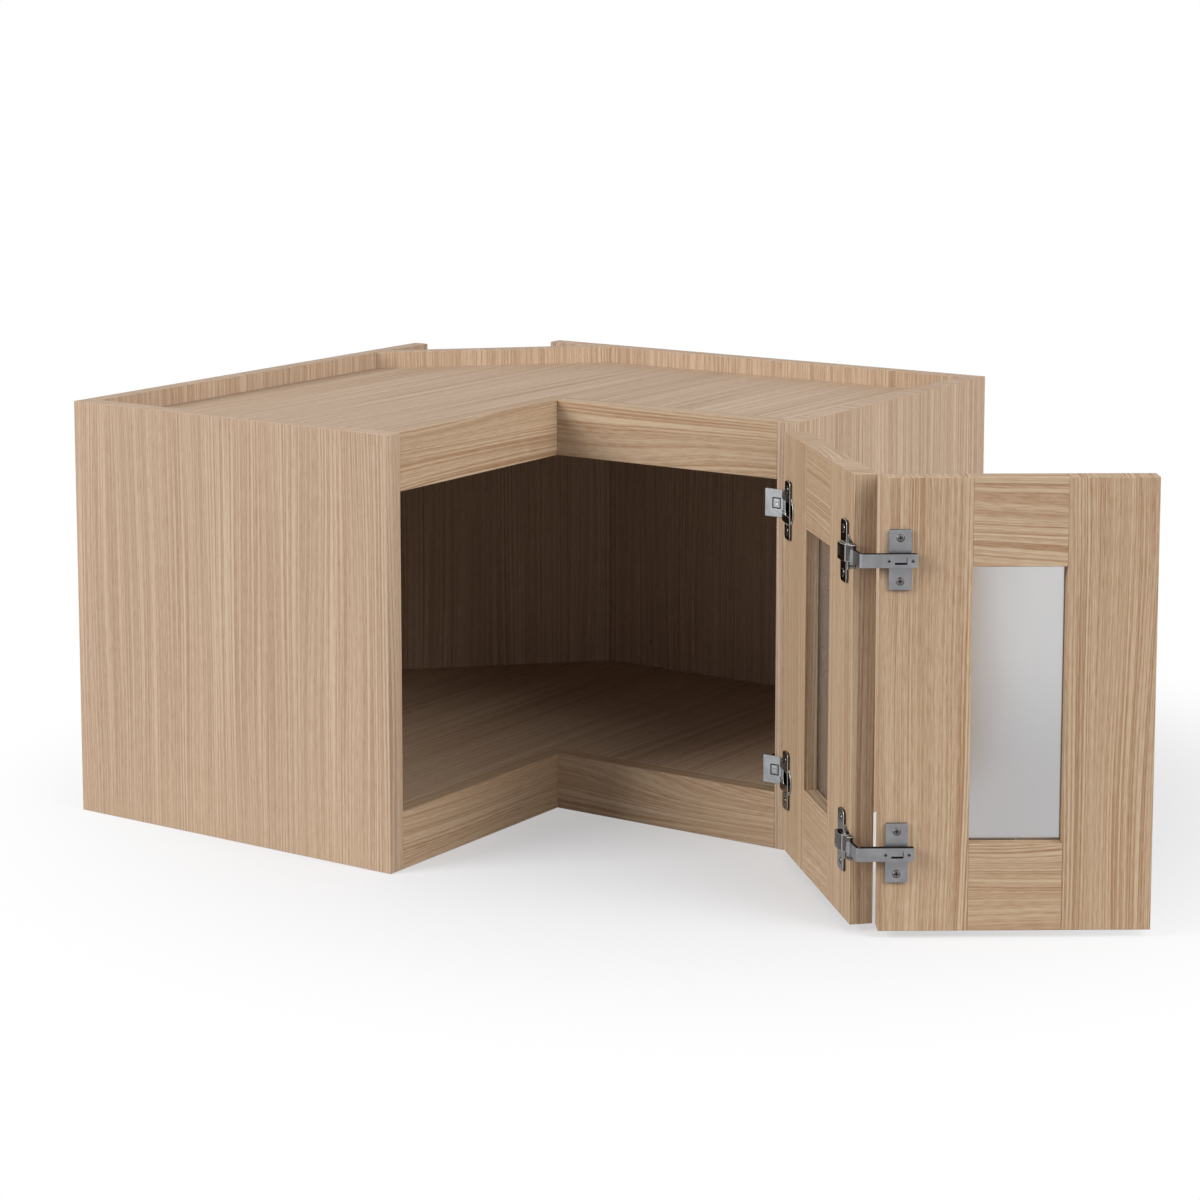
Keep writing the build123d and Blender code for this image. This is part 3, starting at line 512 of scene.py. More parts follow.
def new_object(name: str, data: bpy.types.ID) -> bpy.types.Object:
    """Make an object and link it to the scene.

    Args:
        name: the object's name.
        data: its mesh, lamp or camera.

    Returns:
        The new object.
    """
    made = bpy.data.objects.new(name, data)
    bpy.context.scene.collection.objects.link(made)
    return made


def read(items: bpy.types.bpy_prop_collection, name: str, each: int, kind: type) -> Array:
    """Read one property of all a mesh's points, corners or faces.

    Args:
        items: the mesh's points, corners or faces.
        name: the property's name.
        each: how many numbers each item has.
        kind: the numbers' type.

    Returns:
        A row of numbers for each item.
    """
    values = np.empty(len(items) * each, kind)
    items.foreach_get(name, values)
    return values.reshape(-1, each)


@dataclass
class Part:
    """A visible part: its name, which is its CAD node's too, its body, slot and finish."""

    name: str
    body: Body
    slot: Slot
    material: Material

    def enter(self, mesh: bpy.types.Mesh) -> bpy.types.Object:
        """Put the part in the scene, on its body and in its CAD node's stead.

        Args:
            mesh: the part's mesh, in place.

        Returns:
            The new object.
        """
        made = new_object(self.name, mesh)
        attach(made, self.body.value)
        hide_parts(self.name)
        LOG.info("%s: %d faces on %s", self.name, len(mesh.polygons), self.body.value)
        return made


@dataclass
class Board(Part):
    """A board or pane: its surface, where it goes and how its grain runs."""

    surface: Surface
    place: Matrix = field(default_factory=Matrix)
    grain: Grain | None = None

    def make(self, number: int) -> None:
        """Build the mesh, lay its grain map while it is in its own frame, and put it in place.

        Args:
            number: the board's number, which sets where its veneer is cut from.
        """
        mesh = self.surface.mesh(self.name)
        if self.grain is not None:
            self.lay_grain(mesh, number)
        mesh.transform(in_metres(self.place))
        mesh.materials.append(self.material)
        mesh.update()
        self.enter(mesh)

    def lay_grain(self, mesh: bpy.types.Mesh, number: int) -> None:
        """Give the mesh the map that its veneer is laid by.

        On a broad face the map runs across and along the grain.  On a long edge the board's
        thickness takes the place of across, and on an end it takes the place of along, so
        streaks turn over an end as on a veneered board.

        Args:
            mesh: the board, still in its own frame and in metres.
            number: the board's number, which shifts its veneer to a sheet of its own.
        """
        axes = np.array(self.grain.value, float)
        axes /= np.linalg.norm(axes, axis=1, keepdims=True)
        corners = read(mesh.loops, "vertex_index", 1, int).ravel()
        spots = (read(mesh.vertices, "co", 3, float) @ axes.T)[corners]
        normals = read(mesh.polygons, "normal", 3, float) @ axes.T
        facing = np.argmax(np.abs(normals) * EVEN, axis=1)
        facing = np.repeat(facing, read(mesh.polygons, "loop_total", 1, int).ravel())
        across = np.where(facing == 0, spots[:, 1] + EDGE_SHIFT, spots[:, 0])
        along = np.where(facing == 2, spots[:, 1] + END_SHIFT, spots[:, 2])
        sheet = np.stack([across, along], axis=1) + np.array(SHEET_STEP) * number
        layer = mesh.uv_layers.new(name="grain")
        layer.uv.foreach_set("vector", sheet.astype(np.float32).ravel())


@dataclass(frozen=True)
class Detail:
    """A small surface that is joined to a fitting, and whether it takes the painted shade."""

    surface: Surface
    place: Matrix
    # True gives the surface the painted shade, False the fitting's own finish
    dark: bool = True

    def join(self, work: bmesh.types.BMesh) -> None:
        """Add the surface to a fitting's mesh.

        Args:
            work: the fitting's mesh.
        """
        mesh = self.surface.mesh("detail")
        index = np.full(len(mesh.polygons), PAINTED_SHADE if self.dark else PAINT, np.int32)
        mesh.polygons.foreach_set("material_index", index)
        mesh.transform(in_metres(self.place))
        work.from_mesh(mesh)
        bpy.data.meshes.remove(mesh)


@dataclass
class Fitting(Part):
    """A pressed steel piece: its CAD shape with rolled edges, and the details joined to it."""

    # the painted shade, for the dark details and the level faces
    gap: Material
    ease: float
    painted_shade_level_faces: bool = False
    details: tuple[Detail, ...] = ()
    painted_highlight: Material | None = None

    def make(self, node: bpy.types.Object) -> None:
        """Copy the node's mesh, join its loose triangles, roll its sharp edges and add details.

        Args:
            node: the CAD node that the piece replaces.
        """
        mesh = node.data.copy()
        mesh.name = self.name
        work = bmesh.new()
        work.from_mesh(mesh)
        bmesh.ops.remove_doubles(work, verts=work.verts, dist=MERGE_WITHIN)
        bmesh.ops.dissolve_limit(
            work, angle_limit=FLAT_WITHIN, verts=work.verts, edges=work.edges
        )
        work.normal_update()
        weight = work.edges.layers.float.new("bevel_weight_edge")
        for edge in work.edges:
            edge[weight] = float(edge.calc_face_angle(0.0) > SHARP)
        for face in work.faces:
            face.smooth = True
            # level faces take the painted shade, standing in for the dark reflections and shade on
            # a piece's top and underside
            takes_painted_shade = self.painted_shade_level_faces and abs(face.normal.z) > UPRIGHT
            face.material_index = PAINTED_SHADE if takes_painted_shade else PAINT
        for detail in self.details:
            detail.join(work)
        mesh.materials.clear()
        mesh.materials.append(self.material)
        mesh.materials.append(self.gap)
        if self.painted_highlight is not None:
            mesh.materials.append(self.painted_highlight)
        work.to_mesh(mesh)
        work.free()
        made = self.enter(mesh)
        rolled = made.modifiers.new("rolled_edges", "BEVEL")
        rolled.width = self.ease * MM
        rolled.segments = ROLL_STEPS
        rolled.limit_method = "WEIGHT"
        rolled.use_clamp_overlap = False
        # a cup's rolled edges take the painted highlight
        if self.painted_highlight is not None:
            rolled.material = PAINTED_HIGHLIGHT
        made.modifiers.new("flat_faces", "WEIGHTED_NORMAL")


def dress(node: bpy.types.Object, material: Material) -> None:
    """Give a CAD node that stays its finish.

    Args:
        node: the CAD node.
        material: its finish.
    """
    node.data.materials.clear()
    node.data.materials.append(material)
    LOG.info("%s keeps its CAD mesh, in %s", node.name, material.name)


# ------------------------------------------------------------------------------ finishes
class Streak(Enum):
    """What the oak shows, by its size in millimetres across and along the grain."""

    SWING = (80, 520)  # the growth lines' slow lean
    FLICK = (20, 120)  # their small wander
    LINE = (1.7, 420)  # the growth lines
    GATHER = (24, 500)  # where the lines are strong or weak
    BAND = (8, 600)  # lines that run together
    FIBRE = (0.9, 16)
    PORE = (0.6, 9)
    TONE = (90, 900)  # lighter and darker stretches of a sheet


USUAL = (0.3, 0.7)  # where most of a noise's values lie
CENTRED = (-0.5, 0.5)
FLICK_SHARE = 0.05  # of the sway
FIBRE_SHARE, BAND_SHARE = 0.4, 0.25  # of what the lines add to the dark colour
BRUSHING = (2600.0, 2600.0, 160.0)  # features to a metre along x, y and z
SMUDGES = (90.0, 90.0, 90.0)
DOWEL_FLECKS = (420.0, 420.0, 1300.0)
PANE_SMEARS = (22.0, 22.0, 9.0)
WHITE = (1.0, 1.0, 1.0, 1.0)


class Graph:
    """A node tree that nodes are added to in one line each."""

    def __init__(self, tree: bpy.types.NodeTree) -> None:
        """Keep the tree to add to."""
        self.tree = tree

    def feed(self, socket: Socket, value: Value) -> None:
        """Link another node's output to a socket, or set a plain value on it.

        Args:
            socket: the input.
            value: the output or value that it gets.
        """
        if isinstance(value, Socket):
            self.tree.links.new(value, socket)
        else:
            socket.default_value = value

    def fill(self, node: bpy.types.Node, sockets: dict[str | int, Value]) -> None:
        """Feed several of a node's inputs."""
        for name, value in sockets.items():
            self.feed(node.inputs[name], value)

    def add(
        self,
        kind: str,
        sockets: dict[str | int, Value] | None = None,
        **settings: str | bpy.types.NodeTree,
    ) -> bpy.types.Node:
        """Add a node.

        Args:
            kind: the node's type name without its prefix.
            sockets: values or other nodes' outputs for its inputs.
            settings: the node's own settings.

        Returns:
            The node.
        """
        node = self.tree.nodes.new(f"ShaderNode{kind}")
        for name, value in settings.items():
            setattr(node, name, value)
        self.fill(node, sockets or {})
        return node

    def math(self, operation: str, *values: Value) -> Socket:
        """Return the result of a sum on one to three values."""
        return self.add("Math", dict(enumerate(values)), operation=operation).outputs[0]

    def spread(self, value: Value, between: Pair, to: Pair = (0.0, 1.0)) -> Socket:
        """Return a value stretched from one range to another, smoothly and within its ends.

        Args:
            value: what is stretched.
            between: the range that it comes from.
            to: the range that it goes to.

        Returns:
            The stretched value.
        """
        ends = {"From Min": between[0], "From Max": between[1], "To Min": to[0], "To Max": to[1]}
        node = self.add("MapRange", {"Value": value, **ends}, interpolation_type="SMOOTHSTEP")
        return node.outputs["Result"]

    def streaks(self, across: Value, along: Value, streak: Streak, rough: float = 0.5) -> Socket:
        """Return a flat noise whose features have a streak's size.

        Args:
            across, along: the place on the board, in metres.
            streak: what the noise stands for.
            rough: how strong its finer features are.

        Returns:
            The noise.
        """
        wide, long = streak.value
        x = self.math("MULTIPLY", across, 1000 / wide)
        y = self.math("MULTIPLY", along, 1000 / long)
        place = self.add("CombineXYZ", {"X": x, "Y": y}).outputs[0]
        sockets = {"Vector": place, "Scale": 1.0, "Detail": 1.0, "Roughness": rough}
        return self.add("TexNoise", sockets, noise_dimensions="2D").outputs["Fac"]

    def cloud(self, place: Value, rates: tuple, detail: float) -> Socket:
        """Return a noise in space.

        Args:
            place: the place in the object, in metres.
            rates: features to a metre along x, y and z.
            detail: how many finer features are laid over them.

        Returns:
            The noise.
        """
        scaled = self.add("VectorMath", {0: place, 1: rates}, operation="MULTIPLY").outputs[0]
        sockets = {"Vector": scaled, "Scale": 1.0, "Detail": detail, "Roughness": 0.5}
        return self.add("TexNoise", sockets, noise_dimensions="3D").outputs["Fac"]

    def blend(self, share: Value, first: Value, second: Value) -> Socket:
        """Return two colours mixed by a share of the second.

        Args:
            share: how much of the second.
            first, second: the colours.

        Returns:
            The mixed colour.
        """
        node = self.add("Mix", data_type="RGBA")
        inputs = {socket.identifier: socket for socket in node.inputs}
        for name, value in (("Factor_Float", share), ("A_Color", first), ("B_Color", second)):
            self.feed(inputs[name], value)
        return next(s for s in node.outputs if s.identifier == "Result_Color")

    def shaded(self, colour: Value, value: Value) -> Socket:
        """Return a colour made lighter or darker."""
        return self.add("HueSaturation", {"Color": colour, "Value": value}).outputs[0]

    def bump(self, height: Value, strength: float, distance: float) -> Socket:
        """Return the normals of a surface that rises by a height, in metres."""
        sockets = {"Strength": strength, "Distance": distance, "Height": height}
        return self.add("Bump", sockets).outputs[0]


def new_group(name: str, inputs: dict[str, str]) -> tuple[Graph, dict[str, Socket]]:
    """Start a shader node group.

    Args:
        name: the group's name.
        inputs: socket names with their types.

    Returns:
        The group's graph, and its inputs' values by name.
    """
    tree = bpy.data.node_groups.new(name, "ShaderNodeTree")
    for label, kind in inputs.items():
        tree.interface.new_socket(label, in_out="INPUT", socket_type=f"NodeSocket{kind}")
    source = tree.nodes.new("NodeGroupInput")
    return Graph(tree), {label: source.outputs[label] for label in inputs}


def end_group(g: Graph, colour: Socket, roughness: Socket, height: Socket) -> bpy.types.NodeTree:
    """Finish a shader node group.

    Args:
        g: the group's graph.
        colour, roughness, height: what the group puts out.

    Returns:
        The node group.
    """
    for label, kind in (("Color", "Color"), ("Roughness", "Float"), ("Height", "Float")):
        g.tree.interface.new_socket(label, in_out="OUTPUT", socket_type=f"NodeSocket{kind}")
    sink = g.tree.nodes.new("NodeGroupOutput")
    g.fill(sink, {"Color": colour, "Roughness": roughness, "Height": height})
    return g.tree


def oak_grain_group() -> bpy.types.NodeTree:
    """Make the oak grain: growth lines that sway and gather in bands, and short dark pores.

    The share of the dark colour is a half plus what the lines, the fibres and the bands each
    add or take away.

    Returns:
        The node group.
    """
    colours = {"Light": "Color", "Dark": "Color", "Pore": "Color"}
    amounts = {"Sway": "Float", "Line": "Float", "Contrast": "Float"}
    g, given = new_group("oak_grain", {"Place": "Vector", **colours, **amounts})
    split = g.add("SeparateXYZ", {"Vector": given["Place"]})
    across, along = split.outputs["X"], split.outputs["Y"]
    swing = g.math("SUBTRACT", g.streaks(across, along, Streak.SWING), 0.5)
    across = g.math("MULTIPLY_ADD", swing, given["Sway"], across)
    flick = g.math("SUBTRACT", g.streaks(across, along, Streak.FLICK), 0.5)
    wander = g.math("MULTIPLY", given["Sway"], FLICK_SHARE)
    across = g.math("MULTIPLY_ADD", flick, wander, across)
    lines = g.streaks(g.math("DIVIDE", across, given["Line"]), along, Streak.LINE)
    strength = g.spread(g.streaks(across, along, Streak.GATHER), (0.34, 0.66), (0.55, 1.15))
    depth = g.math("MULTIPLY", g.spread(lines, USUAL, CENTRED), strength)
    fibres = g.spread(g.streaks(across, along, Streak.FIBRE, 0.6), USUAL, CENTRED)
    depth = g.math("MULTIPLY_ADD", fibres, FIBRE_SHARE, depth)
    banding = g.spread(g.streaks(across, along, Streak.BAND), (0.25, 0.75), CENTRED)
    depth = g.math("MULTIPLY_ADD", banding, BAND_SHARE, depth)
    depth = g.math("MULTIPLY_ADD", depth, given["Contrast"], 0.5)
    pore = g.spread(g.streaks(across, along, Streak.PORE), (0.6, 0.76))
    pore = g.math("MULTIPLY", pore, g.spread(lines, (0.4, 0.6), (0.05, 0.35)))
    wood = g.blend(pore, g.blend(depth, given["Light"], given["Dark"]), given["Pore"])
    tone = g.spread(g.streaks(across, along, Streak.TONE), USUAL, (0.97, 1.03))
    rough = g.math("MULTIPLY_ADD", depth, 0.1, 0.5)
    height = g.math("SUBTRACT", g.math("MULTIPLY", depth, -0.6), g.math("MULTIPLY", pore, 0.8))
    return end_group(g, g.shaded(wood, tone), rough, height)


def metal_wear_group() -> bpy.types.NodeTree:
    """Make the metal's surface: a fine brushed grain and faint handling smudges.

    Returns:
        The node group.
    """
    inputs = {"Place": "Vector", "Metal": "Color", "Gloss": "Float", "Brushing": "Float"}
    g, given = new_group("metal_wear", inputs)
    brushed = g.cloud(given["Place"], BRUSHING, 2.0)
    smudge = g.cloud(given["Place"], SMUDGES, 3.0)
    tinted = g.shaded(given["Metal"], g.spread(smudge, USUAL, (0.9, 1.08)))
    gloss = g.math("ADD", given["Gloss"], g.spread(smudge, (0.35, 0.7), (0.0, 0.07)))
    streak = g.math("SUBTRACT", brushed, 0.5)
    gloss = g.math("MULTIPLY_ADD", streak, given["Brushing"], gloss)
    return end_group(g, tinted, gloss, brushed)


def new_material(name: str) -> tuple[Material, Graph, bpy.types.Node]:
    """Start a material.

    Args:
        name: the material's name.

    Returns:
        The material, its graph and its shader.
    """
    made = bpy.data.materials.new(name)
    made.use_nodes = True
    return made, Graph(made.node_tree), made.node_tree.nodes["Principled BSDF"]


@dataclass(frozen=True)
class Oak:
    """Light oak under a matt lacquer, laid by a board's grain map."""

    name: str
    light: tuple
    dark: tuple
    pore: tuple
    sway: float
    line: float = 1.0
    contrast: float = 0.6
    bump: float = 0.35
    bump_height: float = 0.0003
    specular: float = 0.12

    def make(self, grain: bpy.types.NodeTree) -> Material:
        """Build the material.

        Args:
            grain: the shared grain group.

        Returns:
            The material.
        """
        made, g, shader = new_material(self.name)
        colours = {"Light": self.light, "Dark": self.dark, "Pore": self.pore}
        amounts = {"Sway": self.sway, "Line": self.line, "Contrast": self.contrast}
        place = g.add("UVMap", uv_map="grain").outputs[0]
        wood = g.add("Group", {"Place": place, **colours, **amounts}, node_tree=grain).outputs
        normal = g.bump(wood["Height"], self.bump, self.bump_height)
        changing = {"Base Color": wood["Color"], "Roughness": wood["Roughness"], "Normal": normal}
        g.fill(shader, {**changing, "Specular IOR Level": self.specular})
        return made


@dataclass(frozen=True)
class Metal:
    """Plated steel: satin where it is brushed, bright where it is not."""

    name: str
    colour: tuple
    roughness: float
    brushing: float
    bump: float
    metallic: float = 1.0
    specular: float = 0.5
    bump_height: float = 0.00005

    def make(self, wear: bpy.types.NodeTree) -> Material:
        """Build the material.

        Args:
            wear: the shared wear group.

        Returns:
            The material.
        """
        made, g, shader = new_material(self.name)
        place = g.add("TexCoord").outputs["Object"]
        amounts = {"Metal": self.colour, "Gloss": self.roughness, "Brushing": self.brushing}
        steel = g.add("Group", {"Place": place, **amounts}, node_tree=wear).outputs
        normal = g.bump(steel["Height"], self.bump, self.bump_height)
        changing = {"Base Color": steel["Color"], "Roughness": steel["Roughness"]}
        constant = {"Metallic": self.metallic, "Specular IOR Level": self.specular}
        g.fill(shader, {**changing, "Normal": normal, **constant})
        return made


@dataclass(frozen=True)
class Beech:
    """Plain beech for dowels, with short flecks along the rod."""

    name: str
    light: tuple
    fleck: tuple
    roughness: Pair = (0.55, 0.7)
    bump: float = 0.3
    bump_height: float = 0.0001

    def make(self) -> Material:
        """Build the material.

        Returns:
            The material.
        """
        made, g, shader = new_material(self.name)
        fleck = g.cloud(g.add("TexCoord").outputs["Object"], DOWEL_FLECKS, 2.0)
        colour = g.blend(g.spread(fleck, (0.5, 0.7)), self.light, self.fleck)
        rough = g.spread(fleck, USUAL, self.roughness)
        normal = g.bump(fleck, self.bump, self.bump_height)
        g.fill(shader, {"Base Color": colour, "Roughness": rough, "Normal": normal})
        return made


@dataclass(frozen=True)
class Pane:
    """Grey glass with a fine satin surface that is a little uneven."""

    name: str
    tint: tuple
    satin: Pair = (0.24, 0.28)
    index: float = 1.5

    def make(self) -> Material:
        """Build the material.

        Returns:
            The material.
        """
        made, g, shader = new_material(self.name)
        smear = g.cloud(g.add("TexCoord").outputs["Object"], PANE_SMEARS, 3.0)
        rough = g.spread(smear, (0.4, 0.75), self.satin)
        constant = {"Base Color": self.tint, "IOR": self.index, "Transmission Weight": 1.0}
        g.fill(shader, {"Roughness": rough, **constant})
        return made


@dataclass
class Finishes:
    """Every material of the cabinet, built once."""

    veneer: Material
    rail: Material
    door: Material
    door_rail: Material
    beech: Material
    pane: Material
    cup: Material
    arm: Material
    strap: Material
    screw: Material
    painted_highlight: Material
    gap: Material

    @staticmethod
    def make() -> Finishes:
        """Build the shared groups and then each finish.

        Returns:
            The finishes.
        """
        grain, wear = oak_grain_group(), metal_wear_group()
        pore = srgb(130, 99, 73)
        plain = (srgb(192, 169, 144), srgb(160, 132, 106), pore)
        warm = (srgb(189, 167, 139), srgb(148, 115, 85), pore)
        # painted shade: a near-black finish for slots, grooves, screw crosses and the hinges' level
        # faces, standing in for the shade and dark reflections there
        dark = Metal("painted_shade_steel", srgb(20, 18, 18), 0.6, 0.02, 0.05, metallic=0.0, specular=0.05)
        return Finishes(
            veneer=Oak("oak_veneer", *plain, sway=0.014, contrast=0.72).make(grain),
            rail=Oak("oak_rail", *warm, sway=0.045).make(grain),
            door=Oak("oak_door", *warm, sway=0.02, line=0.82, contrast=0.66).make(grain),
            door_rail=Oak("oak_door_rail", *warm, sway=0.055, line=1.1, contrast=0.62).make(grain),
            beech=Beech("beech", srgb(205, 172, 132), srgb(176, 136, 96)).make(),
            pane=Pane("pane_glass", srgb(205, 204, 204)).make(),
            cup=Metal("cup_steel", srgb(86, 83, 80), 0.14, 0.02, 0.05).make(wear),
            arm=Metal("arm_steel", srgb(150, 152, 154), 0.42, 0.1, 0.15).make(wear),
            strap=Metal("strap_steel", srgb(136, 136, 138), 0.36, 0.12, 0.2).make(wear),
            screw=Metal("screw_steel", srgb(104, 102, 100), 0.4, 0.05, 0.1).make(wear),
            # painted highlight: a bright steel colour on the cups' rolled edges, standing in for
            # the light that they reflect
            painted_highlight=Metal("painted_highlight_steel", srgb(196, 194, 190), 0.3, 0.02, 0.05).make(wear),
            gap=dark.make(wear),
        )


# ------------------------------------------------------------------------------ the case
@dataclass
class Case:
    """The cabinet's case: two end panels, three back panels, two decks and four rails."""

    finishes: Finishes
    wing_length: float = 609.6
    wing_depth: float = 359.0
    height: float = 381.0
    end_thick: float = 18.0
    back_thick: float = 16.0
    deck_thick: float = 16.0
    rail_thick: float = 18.0
    rail_height: float = 50.8
    top_recess: float = 16.0
    corner_cut: float = 188.0
    left_back_start: float = 101.5
    right_back_start: float = 112.0
    hang_radius: float = 2.5
    hang_spacing: float = 304.8
    hang_inset: float = 25.0
    dowel_radius: float = 4.05
    dowel_short: float = 12.05
    dowel_long: float = 18.05
    deck_dowel_inset: float = 45.0
    rail_dowels: Pair = (12.7, 38.1)
    back_screw_inset: float = 40.0
    corner_screw_shares: Pair = (0.35, 0.65)
    countersink: tuple = ((4.0, 0.0), (4.0, 0.05), (2.05, 2.05), (2.05, 15.8))
    plate_screw_line: float = 323.0
    plate_screw_reach: float = 16.0
    plate_screw_depth: float = 10.0

    def __post_init__(self) -> None:
        """Work out the places that several pieces share."""
        half = self.deck_thick / 2
        self.inner_end = self.wing_length - self.end_thick
        self.rail_back = self.wing_depth - self.rail_thick
        self.rail_middle = self.wing_depth - self.rail_thick / 2
        self.top_rail_base = self.height - self.rail_height
        self.underside = self.height - self.top_recess - self.deck_thick
        self.deck_middles = (self.rail_height - half, self.underside + half)
        inset = self.deck_dowel_inset
        self.deck_dowels = np.linspace(self.back_thick + inset, self.rail_back - inset, 3)
        inset = self.back_screw_inset
        self.back_screws = np.linspace(self.corner_cut + inset, self.inner_end - inset, 3)

    def end_dowel_holes(self, sign: int) -> list[Recess]:
        """Make the dowel holes of an end panel.

        Args:
            sign: which way the panel's outline runs.

        Returns:
            The holes.
        """
        spots = [(sign * along, z) for along in self.deck_dowels for z in self.deck_middles]
        bases = (0, self.top_rail_base)
        spots += [(sign * self.rail_middle, base + z) for base in bases for z in self.rail_dowels]
        return [Recess.bore("low", spot, self.dowel_radius, self.dowel_short) for spot in spots]

    def back_holes(self, sign: int) -> list[Recess]:
        """Make a back panel's hanging holes and the countersunk holes in its wall side.

        Args:
            sign: which way the panel's outline runs.

        Returns:
            The holes.
        """
        centre = (self.inner_end + self.corner_cut) / 2
        columns = [centre + side * self.hang_spacing / 2 for side in SIDES]
        levels = (self.rail_height + self.hang_inset, self.underside - self.hang_inset)
        holes = [
            Recess.bore("low", (sign * x, z), self.hang_radius, self.back_thick, through=True)
            for x in columns
            for z in levels
        ]
        spots = [(sign * along, z) for along in self.back_screws for z in self.deck_middles]
        return holes + [Recess.drill("low", spot, self.countersink) for spot in spots]

    def board(
        self,
        name: str,
        outline: list[Pair],
        depths: Pair,
        axes: Axes,
        grain: Grain,
        recesses: list[Recess],
        material: Material | None = None,
    ) -> Board:
        """Make one board of the case.

        Args:
            name: the board's name, which is its CAD node's too.
            outline: its corners, anticlockwise.
            depths: where its broad faces lie.
            axes: how the outline and the depth lie.
            grain: how its grain runs.
            recesses: its holes.
            material: its finish, if not the veneer.

        Returns:
            The board.
        """
        surface = Surface().slab(outline, *depths, recesses=recesses, axes=axes)
        finish = material or self.finishes.veneer
        return Board(name, Body.CABINET, Slot.VENEER, finish, surface, grain=grain)

    def ends(self) -> list[Board]:
        """Make the two end panels, each drilled on its inner face.

        Returns:
            The panels.
        """
        reach = self.plate_screw_reach
        levels = [level + side * reach for _, level in HINGE_LEVELS for side in SIDES]
        line, depth = -self.plate_screw_line, self.plate_screw_depth
        plate_screws = [Recess.bore("low", (line, z), SCREW_RADIUS, depth) for z in levels]
        left = box_outline((0, self.wing_depth), (0, self.height))
        right = box_outline((-self.wing_depth, 0), (0, self.height))
        depths = (self.inner_end, self.wing_length)
        left_facing, right_facing = self.facing()
        right_holes = self.end_dowel_holes(-1) + plate_screws
        return [
            self.board("left_end_panel", left, depths, *left_facing, self.end_dowel_holes(1)),
            self.board("right_end_panel", right, depths, *right_facing, right_holes),
        ]

    @staticmethod
    def facing() -> tuple[tuple[Axes, Grain], tuple[Axes, Grain]]:
        """Return how upright panels lie that face along the y axis and along the x axis."""
        return (Axes.DEPTH_MINUS_Y, Grain.UP_FACING_Y), (Axes.DEPTH_X, Grain.UP_FACING_X)

    def backs(self) -> list[Board]:
        """Make the two back panels and the slanting one between them.

        Returns:
            The panels.
        """
        thick, cut = self.back_thick, self.corner_cut
        left = box_outline((-self.inner_end, -self.left_back_start), (0, self.height))
        right = box_outline((self.right_back_start, self.inner_end), (0, self.height))
        outer = cut - thick * math.sqrt(2)
        corner = [(thick, -cut), (cut, -thick), (outer, -thick), (thick, -outer)]
        runs = [(1 - share) * (outer - thick) * math.sqrt(2) for share in self.corner_screw_shares]
        spots = [(run, z) for run in runs for z in self.deck_middles]
        screws = [Recess.drill(2, spot, self.countersink) for spot in spots]
        slanting = (Axes.DEPTH_Z, Grain.UP_FACING_CORNER)
        right_facing, left_facing = self.facing()
        return [
            self.board("left_back_panel", left, (0, thick), *left_facing, self.back_holes(-1)),
            self.board("right_back_panel", right, (0, thick), *right_facing, self.back_holes(1)),
            self.board("corner_back_panel", corner, (0, self.height), *slanting, screws),
        ]

    def decks(self) -> list[Board]:
        """Make the top and bottom panels, whose inner corner is cut off slantwise.

        Returns:
            The panels.
        """
        outline = [
            (self.back_thick, -self.inner_end),
            (self.rail_back, -self.inner_end),
            (self.rail_back, -self.rail_back),
            (self.inner_end, -self.rail_back),
            (self.inner_end, -self.back_thick),
            (self.corner_cut, -self.back_thick),
            (self.back_thick, -self.corner_cut),
        ]
        half = self.deck_thick / 2
        lying = (Axes.DEPTH_Z, Grain.ALONG_Y_FACING_UP)
        places = [(0, along - self.back_thick) for along in self.deck_dowels]
        places += [(3, self.rail_back - along) for along in self.deck_dowels]
        made = []
        for name, middle in zip(("bottom_panel", "top_panel"), self.deck_middles):
            holes = [
                Recess.bore(side, (along, middle), self.dowel_radius, self.dowel_long)
                for side, along in places
            ]
            made.append(self.board(name, outline, (middle - half, middle + half), *lying, holes))
        return made

    def rails(self) -> list[Board]:
        """Make the four rails, which meet at the inner corner.

        Returns:
            The rails.
        """
        middle, depths = self.rail_middle, (self.rail_back, self.wing_depth)
        left_lying = (Axes.DEPTH_X, Grain.ALONG_Y_FACING_X)
        right_lying = (Axes.DEPTH_MINUS_Y, Grain.ALONG_X_FACING_Y)

        def holes(face: str | int, spots: list[Pair], depth: float) -> list[Recess]:
            """Return dowel holes at some spots on a face."""
            return [Recess.bore(face, spot, self.dowel_radius, depth) for spot in spots]

        far = holes(3, [(self.rail_height - z, middle) for z in self.rail_dowels], self.dowel_long)
        near = holes(1, [(z, middle) for z in self.rail_dowels], self.dowel_long)
        made = []
        for zone, base in (("bottom", 0.0), ("top", self.top_rail_base)):
            up = (base, base + self.rail_height)
            left = box_outline((-self.inner_end, -self.rail_back), up)
            right = box_outline((self.wing_depth, self.inner_end), up)
            inner = holes("high", [(-middle, base + z) for z in self.rail_dowels], self.dowel_short)
            rows = (
                ("left", left, left_lying, far + inner),
                ("right", right, right_lying, near + far),
            )
            for wing, outline, lying, drilled in rows:
                name = f"{zone}_rail_{wing}"
                made.append(self.board(name, outline, depths, *lying, drilled, self.finishes.rail))
        return made

    def boards(self) -> list[Board]:
        """Return every board of the case."""
        return self.ends() + self.backs() + self.decks() + self.rails()


